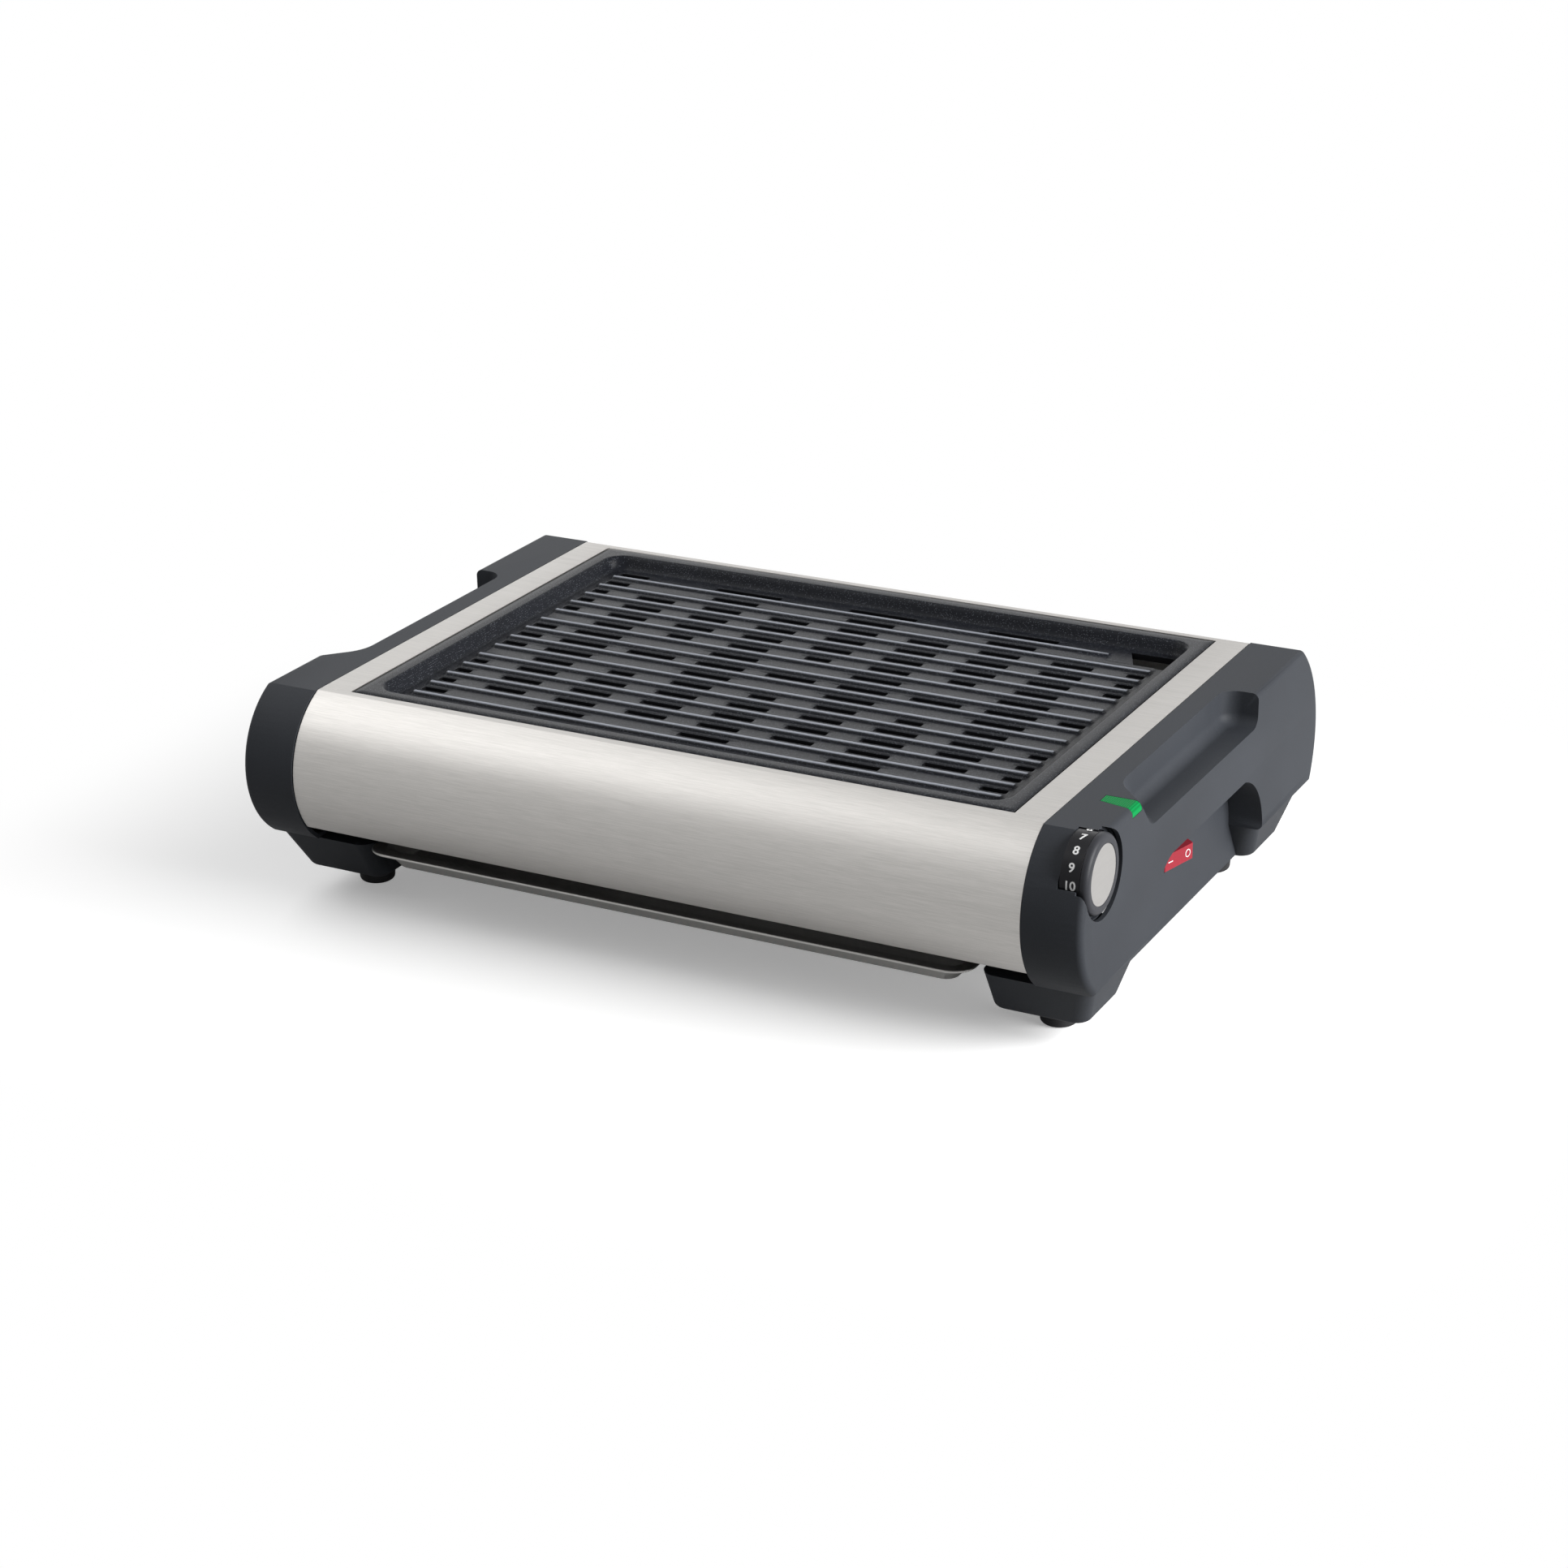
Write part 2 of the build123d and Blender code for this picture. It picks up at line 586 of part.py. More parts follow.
def foot_block(front, inset):
    """Right foot block at the front or the rear, tapered downwards, or its hollow when inset by a wall."""
    low, high = BLOCK_LOW_Z + inset, CAP_LOW_Z - (inset or -SEAT_GAP)
    if front:
        y0, y1 = BLOCK_FRONT_LOW, BLOCK_FRONT_LOW + BLOCK_FRONT_LENGTH
        top_y0, top_y1 = y0 - BLOCK_FLARE_END, RECESS_FRONT
    else:
        y0, y1 = BLOCK_REAR_LOW, BLOCK_REAR_LOW + BLOCK_FRONT_LENGTH
        top_y0, top_y1 = RECESS_REAR, y1 + BLOCK_FLARE_END
    low_x, high_x = BLOCK_OUTER - BLOCK_INNER, BLOCK_OUTER - BLOCK_INNER + BLOCK_FLARE_SIDE
    bottom = Pos(BLOCK_INNER + low_x / 2, (y0 + y1) / 2, low) * RectangleRounded(
        low_x - 2 * inset, y1 - y0 - 2 * inset, BLOCK_CORNER_R - inset
    )
    top = Pos(BLOCK_INNER + high_x / 2, (top_y0 + top_y1) / 2, high) * RectangleRounded(
        high_x - 2 * inset, top_y1 - top_y0 - 2 * inset, BLOCK_CORNER_R - inset
    )
    block = loft([bottom, top])
    if inset:
        return block
    return fillet(block.edges().group_by(Axis.Z)[0], BLOCK_EDGE_R)


def cap_body():
    """Right end cap before its side's own cuts: shell, bar, plinth, foot blocks and screw bosses."""
    shell = outline_slab(CAP_PROUD, CAP_LOW_Z, CAP_INNER, CAP_HALF)
    outer_edges = shell.edges().filter_by_position(Axis.X, CAP_HALF - 0.01, CAP_HALF + 0.01)
    shell = fillet(outer_edges, CAP_EDGE_R)
    y0, y1 = FOOT_FRONT_Y, FOOT_REAR_Y
    plinth = box(CAP_INNER, PLINTH_HALF, y0, y1, PLINTH_LOW_Z, CAP_LOW_Z + CAP_WALL)
    body = shell + plinth + foot_block(True, 0.0) + foot_block(False, 0.0)
    cavity = outline_slab(CAP_PROUD - CAP_WALL, CAP_LOW_Z + CAP_WALL, CAP_INNER - 1, CAVITY_OUTER)
    cavity -= scoop(CAP_WALL)
    cavity -= recess(CAP_WALL)
    body -= cavity
    body -= foot_block(True, CAP_WALL)
    body -= foot_block(False, CAP_WALL)
    x0, x1 = CAP_INNER + CAP_WALL, PLINTH_HALF - CAP_WALL
    body -= box(x0, x1, y0, y1, PLINTH_LOW_Z + CAP_WALL, CAP_LOW_Z + 3 * CAP_WALL)
    body -= scoop(0.0)
    body -= recess(0.0)
    for y, z in CAP_SCREWS:
        body += rod_x(y, z, CAP_BOSS_R, SIDE_OUTER, CAVITY_OUTER + 0.5)
        body -= rod_x(y, z, CAP_SCREW_R, SIDE_OUTER - 1, SIDE_OUTER + CAP_SCREW_LENGTH + 1)
    for y in (FOOT_FRONT_Y, FOOT_REAR_Y):
        body -= rod_z(FOOT_X, y, FOOT_SCREW_R, BLOCK_LOW_Z - 1, BLOCK_LOW_Z + CAP_WALL + 1)
    return body


def lens_prism(gap):
    """Plan wedge of the pilot light, grown by a gap."""
    outside = CAP_HALF + 1
    points = [
        (LENS_INNER_X - gap, LENS_INNER_FRONT - gap),
        (LENS_INNER_X - gap, LENS_REAR + gap),
        (outside, LENS_REAR + gap),
        (outside, LENS_OUTER_FRONT - gap),
    ]
    low = HEIGHT - LENS_DROP - gap
    return Pos(0, 0, low) * extrude(make_face(Polyline(*points, close=True)), LENS_DROP + 2)


def right_end_cap():
    """Right cap: with the dial's well, the switch slot, the pilot light's slot and the cord inlet."""
    body = cap_body()
    shape = outline_slab(CAP_PROUD, CAP_LOW_Z, CAP_INNER, CAP_HALF - CAP_EDGE_R)
    inlet_x = CAP_HALF - INLET_INSET
    body += rod_y(inlet_x, INLET_Z, INLET_BOSS_R, INLET_FACE_Y - INLET_BOSS_LENGTH, INLET_FACE_Y) & shape
    body -= rod_y(inlet_x, INLET_Z, INLET_FLANGE_R + SEAT_GAP, INLET_FACE_Y, REAR_MOST)
    body -= rod_y(inlet_x, INLET_Z, INLET_R + SHAFT_CLEARANCE, INLET_FACE_Y - 2 * INLET_BOSS_LENGTH, REAR_MOST)
    window_r = DIAL_R + DIAL_WINDOW_GAP
    well_floor = DIAL_BACK - DIAL_END_GAP
    body += rod_x(DIAL_Y, DIAL_Z, window_r + CAP_WALL, well_floor - CAP_WALL, CAP_HALF - CAP_EDGE_R) & shape
    body -= rod_x(DIAL_Y, DIAL_Z, window_r, well_floor, CAP_HALF + 1)
    well_front = CAP_HALF - DIAL_WELL_DEPTH
    body -= box(well_floor, well_front, FRONT_MOST - 1, DIAL_Y, DIAL_Z - DIAL_WINDOW_DROP, DIAL_Z)
    body -= rod_x(DIAL_Y, DIAL_Z, DIAL_WELL_R, CAP_HALF - DIAL_WELL_DEPTH, CAP_HALF + 1)
    body -= rod_x(DIAL_Y, DIAL_Z, THERMOSTAT_BUSH_R + SEAT_GAP, CAP_INNER, CAP_HALF)
    body -= lens_prism(LENS_GAP)
    slot_space = Pos(ROCKER_PIVOT_X, SWITCH_Y, SWITCH_Z) * rocker_space(ROCKER_GAP, 0.0)
    return body - (slot_space & box(RECESS_WALL_IN - 1, CAP_HALF, 0, DECK_DEPTH, 0, BAR_LOW_Z))


def left_end_cap():
    """Left cap: the right one mirrored, without openings for controls."""
    return mirror(cap_body(), about=Plane.YZ)


def foot_places():
    """X and Y of the four rubber feet."""
    return [(side * FOOT_X, y) for side in (-1, 1) for y in (FOOT_FRONT_Y, FOOT_REAR_Y)]


def rubber_feet():
    """Four tapered rubber feet with a recess for the screw head."""
    feet = []
    for x, y in foot_places():
        foot = Pos(x, y, BLOCK_LOW_Z / 2) * Cone(FOOT_R - FOOT_TAPER, FOOT_R, BLOCK_LOW_Z)
        foot = fillet(foot.edges().sort_by(Axis.Z)[:1], FOOT_EDGE_R)
        foot -= rod_z(x, y, FOOT_SCREW_HEAD_R + SEAT_GAP, -1, FOOT_SCREW_RECESS + FOOT_SCREW_HEAD)
        foot -= rod_z(x, y, FOOT_SCREW_R + SCREW_CLEARANCE, 0, BLOCK_LOW_Z + 1)
        feet.append(foot)
    return feet


def foot_screws():
    """Screw that holds each rubber foot to its block."""
    head_top = FOOT_SCREW_RECESS + FOOT_SCREW_HEAD
    shank_r = FOOT_SCREW_R - SHAFT_CLEARANCE
    screws = []
    for x, y in foot_places():
        head = rod_z(x, y, FOOT_SCREW_HEAD_R, FOOT_SCREW_RECESS, head_top)
        screws.append(head + rod_z(x, y, shank_r, head_top, BLOCK_LOW_Z + CAP_WALL))
    return screws


def cap_screws():
    """Screws through the side plates into the bosses of the caps."""
    screws = []
    for side in (-1, 1):
        for y, z in CAP_SCREWS:
            head = rod_x(y, z, CAP_SCREW_HEAD_R, side * (SIDE_INNER - CAP_SCREW_HEAD), side * SIDE_INNER)
            end = side * (SIDE_OUTER + CAP_SCREW_LENGTH)
            shank = rod_x(y, z, CAP_SCREW_R - SHAFT_CLEARANCE, side * SIDE_INNER, end)
            screws.append(head + shank)
    return screws


def tray_rail(side):
    """Angle rail between the foot blocks, under the rim of the drip tray."""
    top = TRAY_RIM_Z - TRAY_SHEET - SEAT_GAP
    outer = side * BLOCK_INNER
    y0, y1 = RAIL_START, RAIL_START + RAIL_LENGTH
    leg = box(outer, outer - side * RAIL_SHEET, y0, y1, top - RAIL_HEIGHT, top)
    return leg + box(outer, outer - side * RAIL_WIDTH, y0, y1, top - RAIL_SHEET, top)


def tray_tub(inset, z0, z1):
    """Tapered tub of the tray between its floor and its rim, inset by a wall."""
    half_x = TRAY_RIM_HALF - TRAY_RIM - inset
    half_y = TRAY_LENGTH / 2 - TRAY_RIM - inset
    radius = TRAY_CORNER_R - TRAY_RIM
    mid_y = TRAY_FRONT + TRAY_LENGTH / 2
    low = Pos(0, mid_y, z0) * RectangleRounded(2 * (half_x - TRAY_SLOPE), 2 * (half_y - TRAY_SLOPE), radius)
    high = Pos(0, mid_y, z1) * RectangleRounded(2 * half_x, 2 * half_y, radius)
    return loft([low, high])


def drip_tray():
    """Shallow sheet tray with a flat rim, drawn out to the front."""
    mid_y = TRAY_FRONT + TRAY_LENGTH / 2
    rim_low = TRAY_RIM_Z - TRAY_SHEET
    rim = rounded_slab(TRAY_RIM_HALF, TRAY_LENGTH / 2, TRAY_CORNER_R, rim_low, TRAY_RIM_Z, mid_y)
    outer = tray_tub(0.0, TRAY_RIM_Z - TRAY_DEPTH, TRAY_RIM_Z)
    hollow = tray_tub(TRAY_SHEET, TRAY_RIM_Z - TRAY_DEPTH + TRAY_SHEET, TRAY_RIM_Z + 0.01)
    return rim + outer - hollow


def dial_knob():
    """Cup-shaped knob: the front rim, a hub on the shaft and a sleeve under the number ring."""
    back = DIAL_BACK
    ring_r = DIAL_R - NUMBER_RING_WALL
    rim = rod_x(DIAL_Y, DIAL_Z, DIAL_R, DIAL_BACK + NUMBER_RING_LENGTH, DIAL_FACE_X)
    rim = fillet(rim.edges().sort_by(Axis.X)[-1:], DIAL_FILLET)
    knob = rim + rod_x(DIAL_Y, DIAL_Z, ring_r, back, DIAL_FACE_X - DIAL_FILLET)
    face_back = DIAL_FACE_X - INSERT_THICKNESS - 2 * DIAL_SKIRT_WALL
    knob -= rod_x(DIAL_Y, DIAL_Z, ring_r - DIAL_SKIRT_WALL, back - 1, face_back)
    knob += rod_x(DIAL_Y, DIAL_Z, DIAL_HUB_R, back, face_back + 1)
    knob -= rod_x(DIAL_Y, DIAL_Z, SHAFT_R + SHAFT_CLEARANCE, back - 1, face_back)
    return knob - rod_x(DIAL_Y, DIAL_Z, INSERT_R, DIAL_FACE_X - INSERT_THICKNESS, DIAL_FACE_X + 1)


def number_ring():
    """Ring with the numbers, seated on the sleeve of the knob behind its rim."""
    back = DIAL_BACK
    ring = rod_x(DIAL_Y, DIAL_Z, DIAL_R, back, back + NUMBER_RING_LENGTH)
    return ring - rod_x(DIAL_Y, DIAL_Z, DIAL_R - NUMBER_RING_WALL, back - 1, DIAL_FACE_X)


def dial_insert():
    """Flat metal disc in the face of the knob."""
    return rod_x(DIAL_Y, DIAL_Z, INSERT_R, DIAL_FACE_X - INSERT_THICKNESS, DIAL_FACE_X - DIAL_FILLET / 10)


def thermostat_start():
    """X where the thermostat's case starts, on its bracket."""
    return SIDE_OUTER + BRACKET_SHEET


def thermostat_bracket():
    """Plate between the side plate and the thermostat."""
    plate = Pos(SIDE_OUTER, DIAL_Y, DIAL_Z) * extrude(
        Plane.YZ * RectangleRounded(BRACKET_SIDE, BRACKET_SIDE, BRACKET_SIDE / 5), BRACKET_SHEET
    )
    return plate - rod_x(DIAL_Y, DIAL_Z, THERMOSTAT_BUSH_R, SIDE_OUTER - 1, SIDE_OUTER + BRACKET_SHEET + 1)


def thermostat_body():
    """Round case with the bush that carries the shaft."""
    start = thermostat_start()
    end = start + THERMOSTAT_LENGTH
    body = rod_x(DIAL_Y, DIAL_Z, THERMOSTAT_R, start, end)
    body += rod_x(DIAL_Y, DIAL_Z, THERMOSTAT_BUSH_R, end, end + THERMOSTAT_BUSH)
    return body - rod_x(DIAL_Y, DIAL_Z, SHAFT_R + SHAFT_CLEARANCE, start + THERMOSTAT_LENGTH / 3, CAP_HALF)


def thermostat_shaft():
    """Shaft from the thermostat into the hub of the knob."""
    start = thermostat_start() + THERMOSTAT_LENGTH / 3 + SEAT_GAP
    end = DIAL_FACE_X - INSERT_THICKNESS - 2 * DIAL_SKIRT_WALL - SEAT_GAP
    return rod_x(DIAL_Y, DIAL_Z, SHAFT_R, start, end)


def sensor_probe():
    """Rod under the middle of the plate, with its thin tube to the thermostat."""
    tube_x = SIDE_OUTER + CAPILLARY_INSET
    joint_x = SIDE_INNER - 3.0
    rod = rod_x(PLATE_MID_Y, ELEMENT_Z, PROBE_R, joint_x - PROBE_LENGTH, joint_x)
    low_z = ELEMENT_Z - CAPILLARY_DROP
    tube_end = DIAL_Y + sqrt(THERMOSTAT_R**2 - (low_z - DIAL_Z) ** 2) + CAPILLARY_R
    path = FilletPolyline(
        (joint_x, PLATE_MID_Y, ELEMENT_Z),
        (tube_x, PLATE_MID_Y, ELEMENT_Z),
        (tube_x, PLATE_MID_Y, low_z),
        (tube_x, tube_end, low_z),
        radius=CAPILLARY_BEND_R,
    )
    return rod + sweep(Plane(origin=path @ 0, z_dir=path % 0) * Circle(CAPILLARY_R), path)


def rocker_space(gap, back):
    """Round-ended block about the rocker's pivot, grown by a gap and reaching back from the pivot."""
    height = ROCKER_HEIGHT + 2 * gap
    block = Cylinder(ROCKER_R + gap, height)
    return block & box(-back, ROCKER_R + gap, -ROCKER_R - gap, ROCKER_R + gap, -height / 2, height / 2)


def switch_rocker():
    """Red rocker on two trunnions, stored with its rear end out."""
    half_z = switch_half_z() - SWITCH_WALL / 2
    rocker = rocker_space(0.0, -ROCKER_BACK)
    rocker &= box(0, ROCKER_FACE, -ROCKER_R, ROCKER_R, -ROCKER_HEIGHT, ROCKER_HEIGHT)
    hub = rod_z(0, 0, 2 * ROCKER_PIN_R, -ROCKER_HEIGHT / 2, ROCKER_HEIGHT / 2)
    rocker += hub + rod_z(0, 0, ROCKER_PIN_R, -half_z, half_z)
    return Pos(ROCKER_PIVOT_X, SWITCH_Y, SWITCH_Z) * Rot(0, 0, -ROCKER_TILT) * rocker


def switch_half_z():
    """Half the height of the switch's housing."""
    return ROCKER_HEIGHT / 2 + ROCKER_GAP + SWITCH_WALL


def switch_housing():
    """Switch body behind the recess wall, with the pocket and bearings of the rocker."""
    half_y = ROCKER_R + ROCKER_GAP + SWITCH_WALL
    half_z = switch_half_z()
    front = RECESS_WALL_IN
    body = box(front - SWITCH_DEPTH, front, SWITCH_Y - half_y, SWITCH_Y + half_y, SWITCH_Z - half_z, SWITCH_Z + half_z)
    back = ROCKER_PIVOT_X - front + SWITCH_DEPTH - SWITCH_WALL
    pocket = rocker_space(ROCKER_GAP, back)
    bearing = rod_z(0, 0, ROCKER_PIN_R + SHAFT_CLEARANCE, -half_z - 1, half_z + 1)
    return body - Pos(ROCKER_PIVOT_X, SWITCH_Y, SWITCH_Z) * (pocket + bearing)


def indicator_lens():
    """Green lens bent over the top outer edge of the cap."""
    top = HEIGHT
    low = HEIGHT - LENS_DROP
    outer_x = CAP_HALF
    section = make_face(
        Polyline(
            (LENS_INNER_X, top),
            (outer_x, top),
            (outer_x, low),
            (outer_x - LENS_THICKNESS, low),
            (outer_x - LENS_THICKNESS, top - LENS_THICKNESS),
            (LENS_INNER_X, top - LENS_THICKNESS),
            close=True,
        )
    )
    corner = section.vertices().sort_by_distance((outer_x, top, 0))[0]
    section = fillet(corner, CAP_EDGE_R)
    bar = extrude(Plane.XZ * section, -LENS_REAR - LENS_OUTER_FRONT)
    return bar & lens_prism(0.0)


def indicator_lamp():
    """Neon lamp under the lens."""
    top = HEIGHT - LENS_THICKNESS - SEAT_GAP
    lamp_y = (LENS_INNER_FRONT + LENS_OUTER_FRONT) / 2 + LAMP_R
    lamp = rod_z(LENS_INNER_X + LAMP_INSET, lamp_y, LAMP_R, top - LAMP_LENGTH, top)
    return fillet(lamp.edges().sort_by(Axis.Z)[-1:], LAMP_R / 2)


def terminal_block():
    """Screw terminal block on the right side plate."""
    dx, dy, dz = TERMINAL_SIZE
    y0, z0 = TERMINAL_Y - dy / 2, TERMINAL_Z - dz / 2
    block = box(SIDE_OUTER, SIDE_OUTER + dx, y0, y0 + dy, z0, z0 + dz)
    for n in range(3):
        y = y0 + dy * (n + 0.5) / 3
        block -= rod_x(y, TERMINAL_Z, dy / 10, SIDE_OUTER + dx / 2, SIDE_OUTER + dx + 1)
        block -= rod_z(SIDE_OUTER + dx / 3, y, dy / 12, z0 + dz / 2, z0 + dz + 1)
    return block


def cord_inlet():
    """Flanged bush in the back of the right cap where the supply cord enters."""
    x = CAP_HALF - INLET_INSET
    bush = rod_y(x, INLET_Z, INLET_R, INLET_FACE_Y - INLET_BOSS_LENGTH, INLET_FACE_Y)
    bush += rod_y(x, INLET_Z, INLET_FLANGE_R, INLET_FACE_Y, INLET_FACE_Y + INLET_FLANGE)
    return bush - rod_y(x, INLET_Z, INLET_BORE_R, INLET_FACE_Y - WIDTH / 10, REAR_MOST + 1)


def pieces():
    """Every node by name."""
    return {
        "front_panel": cover_part(-WIDTH, 0.0),
        "deck_frame": cover_part(0.0, DECK_DEPTH),
        "rear_panel": cover_part(DECK_DEPTH, WIDTH),
        "left_end_cap": left_end_cap(),
        "right_end_cap": right_end_cap(),
        "left_side_plate": side_plate(-1),
        "right_side_plate": side_plate(1),
        "heat_liner": heat_liner(),
        "left_tray_rail": tray_rail(-1),
        "right_tray_rail": tray_rail(1),
        "rubber_feet": rubber_feet(),
        "foot_screws": foot_screws(),
        "cap_screws": cap_screws(),
        "heating_element": heating_element(),
        "element_insulators": element_insulators(),
        "element_pins": element_pins(),
        "element_supports": element_supports(),
        "thermostat_bracket": thermostat_bracket(),
        "thermostat_body": thermostat_body(),
        "sensor_probe": sensor_probe(),
        "indicator_lens": indicator_lens(),
        "indicator_lamp": indicator_lamp(),
        "switch_housing": switch_housing(),
        "terminal_block": terminal_block(),
        "cord_inlet": cord_inlet(),
        "grill_plate": grill_plate(),
        "drip_tray": drip_tray(),
        "dial_knob": dial_knob(),
        "number_ring": number_ring(),
        "dial_insert": dial_insert(),
        "thermostat_shaft": thermostat_shaft(),
        "switch_rocker": switch_rocker(),
    }


def write(name, shape):
    """Write one node, moved so that Y is counted from the middle of the object."""
    solids = shape if isinstance(shape, list) else [shape]
    moved = [Pos(0, -CENTRE_Y, 0) * solid for solid in solids]
    found = [solid for piece in moved for solid in piece.solids()]
    export_step(Compound(children=found) if len(found) > 1 else found[0], f"parts/{name}.step")


if __name__ == "__main__":
    os.makedirs("parts", exist_ok=True)
    for name, shape in pieces().items():
        write(name, shape)
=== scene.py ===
"""Electric indoor grill: finishes, printed marks and softened edges over its solid frame."""

import logging
from dataclasses import dataclass, field
from enum import Enum
from math import cos, pi, radians, sin
from typing import Callable, Optional, Sequence

import bmesh
import bpy
import numpy as np
from mathutils import Matrix, Vector


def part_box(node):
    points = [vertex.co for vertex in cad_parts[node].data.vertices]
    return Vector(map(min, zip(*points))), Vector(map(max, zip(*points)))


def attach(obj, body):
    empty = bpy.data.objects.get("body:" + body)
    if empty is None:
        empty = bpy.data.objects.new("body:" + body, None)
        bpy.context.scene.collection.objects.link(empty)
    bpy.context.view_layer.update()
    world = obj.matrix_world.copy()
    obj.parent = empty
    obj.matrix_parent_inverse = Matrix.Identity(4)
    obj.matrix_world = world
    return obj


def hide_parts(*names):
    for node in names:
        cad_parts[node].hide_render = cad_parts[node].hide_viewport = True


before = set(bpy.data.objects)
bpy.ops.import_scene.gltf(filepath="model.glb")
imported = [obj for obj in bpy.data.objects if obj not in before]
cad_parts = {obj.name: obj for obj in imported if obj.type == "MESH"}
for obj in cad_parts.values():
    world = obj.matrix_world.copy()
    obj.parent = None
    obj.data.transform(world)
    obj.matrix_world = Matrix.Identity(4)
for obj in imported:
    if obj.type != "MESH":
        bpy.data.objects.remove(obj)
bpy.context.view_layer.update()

logging.basicConfig(level=logging.INFO, format="%(name)s: %(message)s")
LOG = logging.getLogger("grill")
MM = 0.001
WHITE = (1.0, 1.0, 1.0, 1.0)
# Points of a solid's mesh that lie closer than this, in metres, are one point.
SAME_POINT = 2e-6
# Its faces that bend less than this, in degrees, are one face.
SAME_FACE = 0.5
# A number's strokes grow by this share of its height, and are cut at this many levels so that they can bend.
TYPE_WEIGHT = 0.018
TYPE_LEVELS = 15
# Lines of the plate's grid that lie closer than this, in millimetres, are the same line.
SAME_LINE = 1e-3

Socket = bpy.types.NodeSocket


class Direction(Enum):
    """Way a brushed finish runs, as its pattern's scale in X, Y and Z. The lines run where it is small."""

    ALONG_X = (1.0, 45.0, 45.0)
    ALONG_Y = (45.0, 1.0, 45.0)
    EVERY_WAY = (60.0, 60.0, 60.0)


class Body(Enum):
    """Moving groups of the frame."""

    HOUSING = "housing"
    PLATE = "plate"
    TRAY = "tray"
    DIAL = "dial"
    ROCKER = "rocker"


class Graph:
    """Thin helper over a node tree."""

    def __init__(self, tree: bpy.types.NodeTree) -> None:
        """Keep the tree that nodes go into: a material's, a world's or a group's."""
        self.tree = tree

    def feed(self, socket: Socket, value: object) -> None:
        """Link an input to an output, or set it to a value.

        Args:
            socket: Input socket.
            value: Output socket, number, vector or colour.
        """
        if isinstance(value, Socket):
            self.tree.links.new(value, socket)
        else:
            socket.default_value = value

    def add(self, kind: str, settings: Optional[dict] = None, **sockets: object) -> bpy.types.Node:
        """Add a node and set its options and sockets.

        Args:
            kind: Node's type.
            settings: Node properties by name.
            sockets: Values or output sockets by input: its name with underscores, or i and its number.

        Returns:
            The new node.
        """
        node = self.tree.nodes.new(kind)
        for key, value in (settings or {}).items():
            setattr(node, key, value)
        for key, value in sockets.items():
            numbered = key[0] == "i" and key[1:].isdigit()
            self.feed(node.inputs[int(key[1:]) if numbered else key.replace("_", " ")], value)
        return node

    def math(self, operation: str, a: object, b: object = 0.0) -> Socket:
        """Combine two numbers or sockets by a named operation."""
        return self.add("ShaderNodeMath", {"operation": operation}, i0=a, i1=b).outputs[0]

    def total(self, *terms: tuple[object, float]) -> Socket:
        """Add numbers up, each times its weight.

        Args:
            terms: Pairs of a number or socket and its weight.

        Returns:
            The sum's socket.
        """
        parts = [part if weight == 1.0 else self.math("MULTIPLY", part, weight) for part, weight in terms]
        result = parts[0]
        for part in parts[1:]:
            result = self.math("ADD", result, part)
        return result

    def ramp(self, factor: Socket, low: float, high: float) -> Socket:
        """Stretch a number smoothly, so that low gives 0 and high gives 1."""
        settings = {"interpolation_type": "SMOOTHSTEP"}
        return self.add("ShaderNodeMapRange", settings, Value=factor, From_Min=low, From_Max=high).outputs[0]

    def noise(self, vector: Socket, scale: object, detail: float, roughness: float) -> Socket:
        """Make noise between 0 and 1 from patches per unit, number of finer layers and their weight."""
        node = self.add("ShaderNodeTexNoise", Vector=vector, Scale=scale, Detail=detail, Roughness=roughness)
        return node.outputs[0]

    def mix(self, factor: object, a: object, b: object) -> Socket:
        """Mix two colours.

        Args:
            factor: Share of the second colour.
            a: First colour or socket.
            b: Second colour or socket.

        Returns:
            The mixed colour's socket.
        """
        node = self.add("ShaderNodeMix", {"data_type": "RGBA"})
        for number, value in ((0, factor), (6, a), (7, b)):
            self.feed(node.inputs[number], (*value[:3], 1.0) if isinstance(value, tuple) else value)
        return node.outputs[2]


